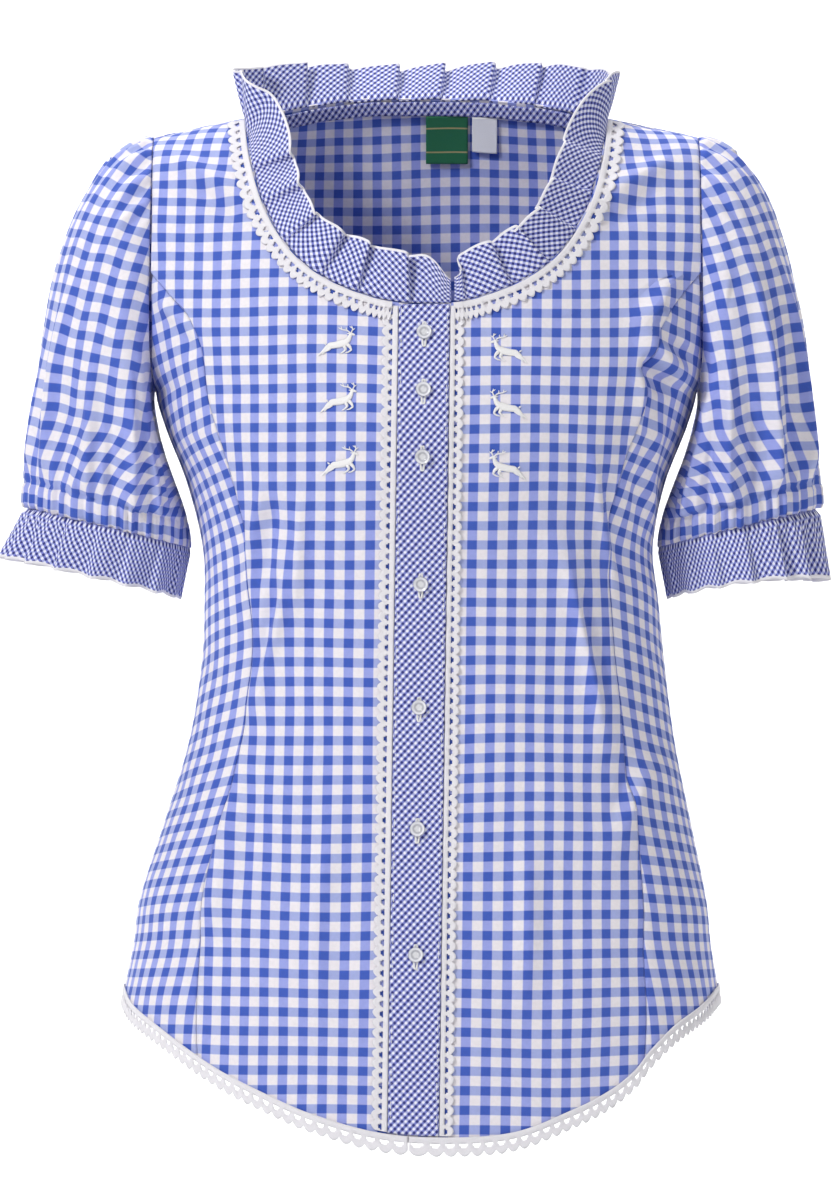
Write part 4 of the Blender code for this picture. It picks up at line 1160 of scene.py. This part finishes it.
def strip_locate(low, high, z_top, lift):
    def locate(s, w, hump):
        across = blend(low, high, w)
        bottom = theta_of(PLACKET_BOTTOM_X + across, np.full_like(across, PLACKET_BOTTOM_Z))
        z_bottom = hem_z(bottom) + HEM_LACE_OVERLAP + 0.0006
        z = blend(z_bottom, z_top, s)
        return on_body(theta_of(placket_x(z) + across, z), z, -1, lift + hump)

    return locate


def hem_locate(start, end, side):
    def locate(s, w, hump):
        theta = blend(start, end, s)
        z = hem_z(theta) + blend(HEM_LACE_OVERLAP, -HEM_LACE_DROP, w)
        return on_body(theta, z, side, LIFT + hump)

    return locate


def neck_locate(hand):
    def locate(s, w, hump):
        share = blend(NECK_LACE_START[hand], 0.985, s)
        over = 0.0008 * (1.0 - smoothstep((s - 0.05) / 0.04))
        x, z = neckline_at(share)
        x_next, z_next = neckline_at(np.minimum(share + 0.01, 1.0))
        x_last, z_last = neckline_at(share - 0.01)
        run = unit(np.stack([x_next - x_last, z_next - z_last], axis=-1))
        reach = blend(0.0006, NECK_LACE_WIDTH, w)
        x = x + run[:, 1] * reach
        z = np.minimum(z - run[:, 0] * reach, shoulder_z(x) - 0.0010)
        return on_body(hand * theta_of(x, z), z, -1, LIFT + hump + over)

    return locate


# Embroidered stags, one stroke a row: half widths, then the line in millimetres

STAG = (
    ((1.2, 2.3, 2.4, 2.6, 2.4, 1.5), (-7.4, 0.6, -5.4, 0.5, -2.0, 0.8, 2.0, 1.6, 5.4, 2.8, 7.6, 3.6)),
    ((1.9, 1.5, 1.0, 0.7, 0.5), (-6.2, 0.2, -8.2, -1.6, -9.8, -3.2, -11.6, -4.8, -13.2, -6.6)),
    ((1.5, 1.0, 0.7, 0.5), (-4.8, -0.6, -7.0, -2.6, -9.2, -3.8, -10.6, -5.8)),
    ((1.6, 1.1, 0.7, 0.5, 0.4), (6.4, 1.8, 8.6, -0.4, 9.6, -2.6, 7.4, -4.2, 5.2, -4.6)),
    ((1.4, 0.9, 0.6, 0.4), (4.2, 0.6, 5.8, -2.0, 4.2, -3.8, 1.8, -5.2)),
    ((2.3, 1.8, 1.4, 1.1), (6.0, 3.0, 7.8, 5.0, 8.6, 7.0, 9.0, 8.4)),
    ((0.9, 1.15, 0.9, 0.55), (7.8, 8.6, 9.2, 8.8, 10.8, 8.4, 12.2, 7.8)),
    ((0.6, 0.3), (8.0, 9.0, 6.6, 9.0)),
    ((0.8, 0.4), (-7.8, 1.2, -9.4, 2.4)),
    ((0.50, 0.50, 0.45, 0.40), (8.8, 9.6, 6.6, 11.2, 3.4, 11.6, 0.6, 13.0)),
    ((0.42, 0.32), (6.2, 11.2, 6.0, 13.4)),
    ((0.42, 0.32), (3.2, 11.6, 2.4, 14.0)),
    ((0.50, 0.46, 0.40), (9.4, 9.6, 10.6, 11.8, 9.8, 14.4)),
    ((0.42, 0.32), (10.4, 11.4, 12.2, 12.8)),
    ((0.42, 0.32), (10.2, 12.8, 8.4, 14.0)),
)

# Middle of each stag: x and z
STAG_PLACES = (
    (-0.0545, -0.1440),
    (-0.0535, -0.1790),
    (-0.0525, -0.2175),
    (0.0505, -0.1485),
    (0.0500, -0.1830),
    (0.0495, -0.2200),
)
STAG_SCALE = 0.00088


def stroke(shape, widths, line, place):
    """One raised satin-stitch stroke with a rounded back, closed underneath."""
    corners = np.array(line, float).reshape(-1, 2)
    count = len(corners)
    fine = np.linspace(0, count - 1, (count - 1) * 5 + 1)
    middle = np.stack([np.interp(fine, range(count), corners[:, k]) for k in (0, 1)], axis=-1)
    if count > 2:
        middle[1:-1] = (middle[:-2] + 2 * middle[1:-1] + middle[2:]) / 4
    half = np.interp(fine, range(count), widths)
    ends = np.minimum(np.arange(len(fine)), np.arange(len(fine))[::-1])
    half = half * np.sqrt(np.clip((ends + 0.45) / 2.2, 0.0, 1.0))
    run = unit(np.gradient(middle, axis=0))
    side = np.stack([-run[:, 1], run[:, 0]], axis=-1)
    profile = ((-1.0, 0.0), (-0.75, 0.7), (0.0, 1.0), (0.75, 0.7), (1.0, 0.0), (0.0, -0.1))
    rings = []
    for k in range(len(fine)):
        ring = []
        for across, rise in profile:
            flat = middle[k] + side[k] * half[k] * across
            ring.append(shape.verts.new(place(flat, rise * min(0.55, 0.25 + 0.2 * half[k]))))
        rings.append(ring)
    for low, high in zip(rings, rings[1:]):
        for k in range(len(profile)):
            after = (k + 1) % len(profile)
            shape.faces.new((low[k], low[after], high[after], high[k]))
    shape.faces.new(rings[0])
    shape.faces.new(list(reversed(rings[-1])))


def make_stags():
    for number, (x, z) in enumerate(STAG_PLACES, start=1):
        hand = 1 if x < 0 else -1

        def place(flat, rise):
            px = np.array([x + hand * flat[0] * STAG_SCALE])
            pz = np.array([z + (flat[1] - 3.9) * STAG_SCALE])
            px = px - body_sway(pz)
            return Vector(on_body(theta_of(px, pz), pz, -1, 0.0004 + rise * 0.0012)[0])

        shape = bmesh.new()
        for widths, line in STAG:
            stroke(shape, widths, line, place)
        shape_piece(f"stag_{number}", shape, STITCH)


# Buttons and buttonholes


def button_frame(z, lift):
    z_row = np.array([z])
    x_row = placket_x(z_row)
    theta = theta_of(x_row, z_row)
    place = Vector(on_body(theta, z_row, -1, lift)[0])
    normal = Vector(figure_normal(theta, z_row, -1)[0])
    return place, normal.to_track_quat("Z", "Y")


BUTTON_STEPS = 48


def make_button(number, z):
    radius, height = BUTTON_RADIUS, BUTTON_THICKNESS
    profile = (
        (0.0, height * 0.52), (radius * 0.30, height * 0.50), (radius * 0.52, height * 0.55),
        (radius * 0.60, height * 0.70), (radius * 0.68, height * 0.62), (radius * 0.76, height * 0.66),
        (radius * 0.86, height * 0.97), (radius * 0.93, height), (radius * 0.98, height * 0.86),
        (radius, height * 0.60), (radius * 0.97, height * 0.28), (radius * 0.86, height * 0.06),
        (radius * 0.70, 0.0), (0.0, 0.0),
    )
    mesh = bpy.data.meshes.new(f"pearl_button_{number}")
    mesh.from_pydata([(r, 0.0, h) for r, h in profile], [(k, k + 1) for k in range(len(profile) - 1)], [])
    piece = bpy.data.objects.new(f"pearl_button_{number}", mesh)
    bpy.context.scene.collection.objects.link(piece)
    apply_modifier(piece, "SCREW", steps=BUTTON_STEPS, render_steps=BUTTON_STEPS,
                   use_merge_vertices=True, merge_threshold=0.00002)
    shape = bmesh.new()
    shape.from_mesh(piece.data)
    bmesh.ops.remove_doubles(shape, verts=shape.verts, dist=0.00001)
    bmesh.ops.recalc_face_normals(shape, faces=shape.faces)
    rounds = shape.loops.layers.uv.new("rings")
    for face in shape.faces:
        for corner in face.loops:
            corner[rounds].uv = (corner.vert.co.xy.length / radius, 0.5)
    place, turn = button_frame(z, LIFT + PLACKET_WALL + 0.0006)
    for hole in range(4):
        spot = math.radians(45 + 90 * hole)
        centre = Vector((math.cos(spot), math.sin(spot), 0.0)) * radius * 0.24
        near = [
            v for v in shape.verts
            if (v.co.xy - centre.xy).length < radius * 0.11 and v.co.z > height * 0.4
        ]
        for vertex in near:
            vertex.co.z -= height * 0.3
    bmesh.ops.rotate(shape, verts=shape.verts, cent=(0, 0, 0), matrix=turn.to_matrix())
    bmesh.ops.translate(shape, verts=shape.verts, vec=place)
    shape.to_mesh(piece.data)
    shape.free()
    finish_piece(piece, PEARL_AND_RING_SHADE, "buttons", f"button_{number}")


def make_buttonhole(number, z):
    """A long oval of close stitches round the slit, upright under the button."""
    half_length, half_width, bead = 0.0078, 0.0011, 0.0006
    centre_z = z - 0.0012
    steps = 44
    shape = bmesh.new()
    rings = []
    for k in range(steps):
        angle = 2 * math.pi * k / steps
        x_off = half_width * math.copysign(abs(math.cos(angle)) ** 0.6, math.cos(angle))
        z_off = half_length * math.sin(angle)
        swell = bead * (1.0 + 0.12 * (k % 2))
        ring = []
        for m in range(8):
            around = 2 * math.pi * m / 8
            px = np.array([0.0]) + x_off + swell * math.cos(around) * math.copysign(1.0, x_off or 1.0)
            pz = np.array([centre_z + z_off])
            theta = theta_of(placket_x(pz) + px, pz)
            lift = LIFT + PLACKET_WALL + 0.0001 + 0.7 * swell * (math.sin(around) + 0.6)
            ring.append(shape.verts.new(Vector(on_body(theta, pz, -1, lift)[0])))
        rings.append(ring)
    for k in range(steps):
        low, high = rings[k], rings[(k + 1) % steps]
        for m in range(8):
            after = (m + 1) % 8
            shape.faces.new((low[m], low[after], high[after], high[m]))
    shape_piece(f"buttonhole_{number}", shape, STITCH)


# Stitch rows


def stitch_row(name, line, spacing, length, thickness, finish):
    """Short raised stitches along a line of points with their outward normals."""
    points, normals = line
    run = np.concatenate([[0.0], np.cumsum(np.linalg.norm(np.diff(points, axis=0), axis=1))])
    count = int(run[-1] / spacing)
    shape = bmesh.new()
    for k in range(count):
        ends = []
        for at in (k * spacing, k * spacing + length):
            here = Vector([float(np.interp(at, run, points[:, c])) for c in range(3)])
            out = Vector([float(np.interp(at, run, normals[:, c])) for c in range(3)]).normalized()
            ends.append((here, out))
        (a, out), (b, _) = ends
        way = (b - a).normalized()
        side = way.cross(out).normalized() * thickness
        up = out * thickness
        rings = []
        for share, size in ((0.0, 0.35), (0.25, 1.0), (0.75, 1.0), (1.0, 0.35)):
            middle = a.lerp(b, share)
            corners = (side, up, -side, -up * 0.5)
            rings.append([shape.verts.new(middle + corner * size) for corner in corners])
        for low, high in zip(rings, rings[1:]):
            for m in range(4):
                shape.faces.new((low[m], low[(m + 1) % 4], high[(m + 1) % 4], high[m]))
        shape.faces.new(rings[0])
        shape.faces.new(list(reversed(rings[-1])))
    return shape_piece(name, shape, finish)


def placket_line(across, lift):
    z = np.linspace(PLACKET_TOP_Z - 0.002, PLACKET_BOTTOM_Z + 0.004, 300)
    theta = theta_of(placket_x(z) + across, z)
    return on_body(theta, z, -1, lift), figure_normal(theta, z, -1)


# The blouse

GINGHAM = checked_cotton("Gingham", GINGHAM_PITCH, 0.48, 0.025,
                         (GINGHAM_BLUE, GINGHAM_WARP, GINGHAM_WEFT, GINGHAM_WHITE), 0.0, 0.82)
CHECK_COLOURS = (CHECK_BLUE, CHECK_WARP, CHECK_WEFT, CHECK_WHITE)
RUFFLE_CHECK = checked_cotton("Ruffle check", CHECK_PITCH, 0.50, 0.06, CHECK_COLOURS,
                              math.radians(45), 0.82, edge=(NECK_RUFFLE_HEIGHT, TRIM_WHITE))
CUFF_CHECK = checked_cotton("Cuff check", CHECK_PITCH, 0.50, 0.06, CHECK_COLOURS,
                            math.radians(45), 0.82, edge=(CUFF_RUFFLE_HEIGHT, TRIM_WHITE))
PLACKET_CHECK = checked_cotton("Placket check", CHECK_PITCH, 0.50, 0.06,
                               CHECK_COLOURS, math.radians(40), 0.82)
LACE = thread_finish("Cotton lace", TRIM_WHITE, 1500.0)
STITCH = thread_finish("Satin stitch", (0.90, 0.89, 0.89), 2200.0, roughness=0.5)
PEARL_AND_RING_SHADE = pearl_and_painted_ring_shade_finish()
GREEN_TAPE = tape_finish("Green tape", (0.012, 0.150, 0.060), (0.42, 0.36, 0.16))
WHITE_TAPE = tape_finish("White tape", (0.95, 0.95, 0.95), (0.95, 0.95, 0.95))

TRUNK = (0.0, 0.0, -0.30)


def cloth(node, columns, rows, place, middle, finish, slot, closed=False, wall=CLOTH_WALL, offset=-1.0):
    """One piece of cloth or tape that stands for a node of the same name."""
    piece = grid_piece(f"cloth_{node}", columns, rows, place, middle, closed)
    thicken(piece, wall, offset)
    return finish_piece(piece, finish, slot, node)


for side_name, hand in (("right", -1), ("left", 1)):
    arm = (hand * CUFF_X[hand], 0.0, -0.16)
    cuff_middle = (hand * CUFF_X[hand], 0.0, -0.27)
    cloth(f"front_centre_{side_name}", 88, 220, front_centre_place(hand), TRUNK, GINGHAM, "gingham")
    cloth(f"front_side_{side_name}", 48, 200, front_side_place(hand), TRUNK, GINGHAM, "gingham")
    cloth(f"sleeve_{side_name}", 240, 110, sleeve_place(hand), arm, GINGHAM, "gingham", closed=True)
    cloth(f"cuff_ruffle_{side_name}", 320, 20, cuff_ruffle_place(hand), cuff_middle, CUFF_CHECK,
          "mini_check", closed=True)
    lace_piece(f"eyelet_neck_{side_name}", f"neck_lace_{side_name}", 0.205, neck_locate(hand),
               NECK_LACE_WIDTH, TRUNK)
cloth("back", 160, 230, back_place, TRUNK, GINGHAM, "gingham")
cloth("neck_ruffle", 840, 20, neck_ruffle_place(), TRUNK, RUFFLE_CHECK, "mini_check", offset=0.0)

PLACKET_LENGTH = 0.515
PLACKET_LACE_LENGTH = 0.512
PLACKET_LACE_GAP = 0.0003
HEM_LACE_WIDTH = 0.012
HEM_LACE_GAP = 0.0008
BINDING_LENGTH = 0.235
BINDING_DROP = 0.0012
BINDING_END_GAP = 0.006
LABEL_GAP = 0.0004
LABEL_WALL = 0.0006
ROW_INSET = 0.0016
ROW_SPACING = 0.0029
ROW_STITCH = 0.0021
ROW_THICKNESS = 0.00022

half_placket = PLACKET_WIDTH / 2
placket_locate = strip_locate(-half_placket, half_placket, PLACKET_TOP_Z, LIFT)


def placket_place(u, v):
    edge_roll = 0.0003 * np.exp(-((np.minimum(u, 1 - u) / 0.06) ** 2))
    wave = 0.00025 * np.sin(150 * v + 3 * u)
    points = placket_locate(v, u, edge_roll + wave)
    return points, np.stack([u * PLACKET_WIDTH, v * PLACKET_LENGTH], axis=-1)


cloth("placket", 16, 260, placket_place, TRUNK, PLACKET_CHECK, "mini_check", wall=PLACKET_WALL, offset=1.0)

for side_name, hand, width in (("right", -1, LACE_WIDTH_RIGHT), ("left", 1, LACE_WIDTH_LEFT)):
    edge = hand * (half_placket + PLACKET_LACE_GAP)
    lace_piece(f"eyelet_placket_{side_name}", f"placket_lace_{side_name}", PLACKET_LACE_LENGTH,
               strip_locate(edge, edge + hand * width, PLACKET_TOP_Z - 0.001, LIFT), width, TRUNK)
middle_theta = float(theta_of(PLACKET_BOTTOM_X, np.array(-0.63)))
for name, node, length, locate in (
    ("right", "front_right", 0.255, hem_locate(-1.0, middle_theta - HEM_LACE_GAP, -1)),
    ("left", "front_left", 0.270, hem_locate(middle_theta + HEM_LACE_GAP, 1.0, -1)),
    ("back", "back", 0.525, hem_locate(-1.0, 1.0, 1)),
):
    lace_piece(f"eyelet_hem_{name}", f"hem_lace_{node}", length, locate, HEM_LACE_WIDTH, TRUNK)


def inner_back_place(x_low, x_high, top_drop, bottom_drop, lift):
    def place(u, v):
        x = blend(x_low, x_high, u)
        z = back_top_z(x) - blend(bottom_drop, top_drop, v)
        sag = lift + 0.0006 * np.sin(3.0 * u + 2.0 * v)
        return on_body(theta_of(x, z), z, 1, -sag), np.stack([u, v], axis=-1)

    return place


reach = NECK_POINT_X - BINDING_END_GAP
binding_place = inner_back_place(-reach, reach, BINDING_DROP, BINDING_DROP + BINDING_WIDTH, INNER_LIFT)


def binding_cloth(u, v):
    points, _ = binding_place(u, v)
    return points, np.stack([u * BINDING_LENGTH, v * BINDING_WIDTH], axis=-1)


piece = grid_piece("cloth_binding", 120, 6, binding_cloth, TRUNK)
thicken(piece, BINDING_WALL)
finish_piece(piece, PLACKET_CHECK, "mini_check", "neck_binding")
label_top = BINDING_DROP + BINDING_WIDTH + LABEL_GAP
for name, finish, (x_low, x_high, length) in (
    ("woven_label", GREEN_TAPE, WOVEN_LABEL),
    ("care_label", WHITE_TAPE, CARE_LABEL),
):
    place = inner_back_place(x_low, x_high, label_top, label_top + length, LABEL_LIFT)
    piece = grid_piece(f"tape_{name}", 24, 24, place, TRUNK)
    thicken(piece, LABEL_WALL)
    finish_piece(piece, finish, name, name)

make_stags()
for number, z in enumerate(BUTTON_Z, start=1):
    make_button(number, z)
    make_buttonhole(number, z)
for side_name, hand in (("right", -1), ("left", 1)):
    line = placket_line(hand * (half_placket - ROW_INSET), LIFT + PLACKET_WALL + 0.0001)
    stitch_row(f"stitches_placket_{side_name}", line, ROW_SPACING, ROW_STITCH, ROW_THICKNESS, STITCH)

PLACKET_PIECES = ("eyelet_placket_left", "stitches_placket_right", "stitches_placket_left")
PLACKET_PIECES += tuple(f"pearl_button_{number}" for number in range(1, 8))
PLACKET_PIECES += tuple(f"buttonhole_{number}" for number in range(1, 8))

# Floor, light and camera

CAMERA_DISTANCE = 5.0
METRES_PER_PIXEL = 0.00063
FRAME_PIXELS = (840, 1199)
FRAME_CENTRE = Vector((-0.0038, 0.0, -0.3033))


def make_floor():
    bpy.ops.object.select_all(action="DESELECT")
    bpy.ops.mesh.primitive_plane_add(size=1.0)
    floor = bpy.context.object
    floor.name = "studio_floor"
    shape = bmesh.new()
    sweep = [(-6.0, -0.80), (1.2, -0.80)]
    sweep += [
        (1.2 + 1.2 * math.sin(math.radians(a)), 0.40 - 1.2 * math.cos(math.radians(a)))
        for a in range(10, 91, 10)
    ]
    sweep += [(2.4, 5.0)]
    rows = [[shape.verts.new((x, y, z)) for x in (-8.0, 8.0)] for y, z in sweep]
    for low, high in zip(rows, rows[1:]):
        shape.faces.new((low[0], low[1], high[1], high[0]))
    shape.to_mesh(floor.data)
    shape.free()
    floor.data.shade_smooth()
    made, nodes, links, shader = new_material("Studio paper")
    shader.inputs["Base Color"].default_value = (0.90, 0.90, 0.90, 1.0)
    shader.inputs["Roughness"].default_value = 0.9
    # The paper has one side, so that it doesn't stand before the blouse when it is seen from behind
    faces = nodes.new("ShaderNodeNewGeometry")
    clear = nodes.new("ShaderNodeBsdfTransparent")
    either = nodes.new("ShaderNodeMixShader")
    links.new(faces.outputs["Backfacing"], either.inputs["Fac"])
    links.new(shader.outputs["BSDF"], either.inputs[1])
    links.new(clear.outputs["BSDF"], either.inputs[2])
    links.new(either.outputs["Shader"], nodes["Material Output"].inputs["Surface"])
    floor.data.materials.clear()
    floor.data.materials.append(made)


def add_light(name, place, target, size, power):
    data = bpy.data.lights.new(name, "AREA")
    data.shape = "RECTANGLE"
    data.size, data.size_y = size
    data.energy = power
    light = bpy.data.objects.new(name, data)
    light.location = place
    light.rotation_mode = "QUATERNION"
    light.rotation_quaternion = (Vector(target) - Vector(place)).to_track_quat("-Z", "Y")
    bpy.context.scene.collection.objects.link(light)


def make_camera():
    data = bpy.data.cameras.new("camera")
    data.sensor_fit = "VERTICAL"
    data.sensor_height = 36.0
    data.lens = data.sensor_height * CAMERA_DISTANCE / (FRAME_PIXELS[1] * METRES_PER_PIXEL)
    camera = bpy.data.objects.new("camera", data)
    camera.location = FRAME_CENTRE + Vector((0.0, -CAMERA_DISTANCE, 0.0))
    camera.rotation_euler = (math.pi / 2, 0.0, 0.0)
    bpy.context.scene.collection.objects.link(camera)
    bpy.context.scene.camera = camera


make_floor()
add_light("key light", (-2.0, -2.2, 1.7), (0.0, 0.0, -0.3), (0.7, 0.7), 80.0)
add_light("fill light", (2.2, -2.2, 0.4), (0.0, 0.0, -0.3), (1.6, 1.6), 15.0)
add_light("top light", (0.0, -0.3, 2.4), (0.0, 0.0, -0.3), (2.0, 2.0), 12.0)
add_light("backdrop light", (0.0, 0.6, 1.5), (0.0, 2.4, -0.2), (2.4, 0.6), 60.0)
world = bpy.data.worlds.new("studio")
world.use_nodes = True
world.node_tree.nodes["Background"].inputs["Color"].default_value = (1.0, 1.0, 1.0, 1.0)
world.node_tree.nodes["Background"].inputs["Strength"].default_value = 0.23
bpy.context.scene.world = world
bpy.context.scene.view_settings.view_transform = "Standard"
make_camera()
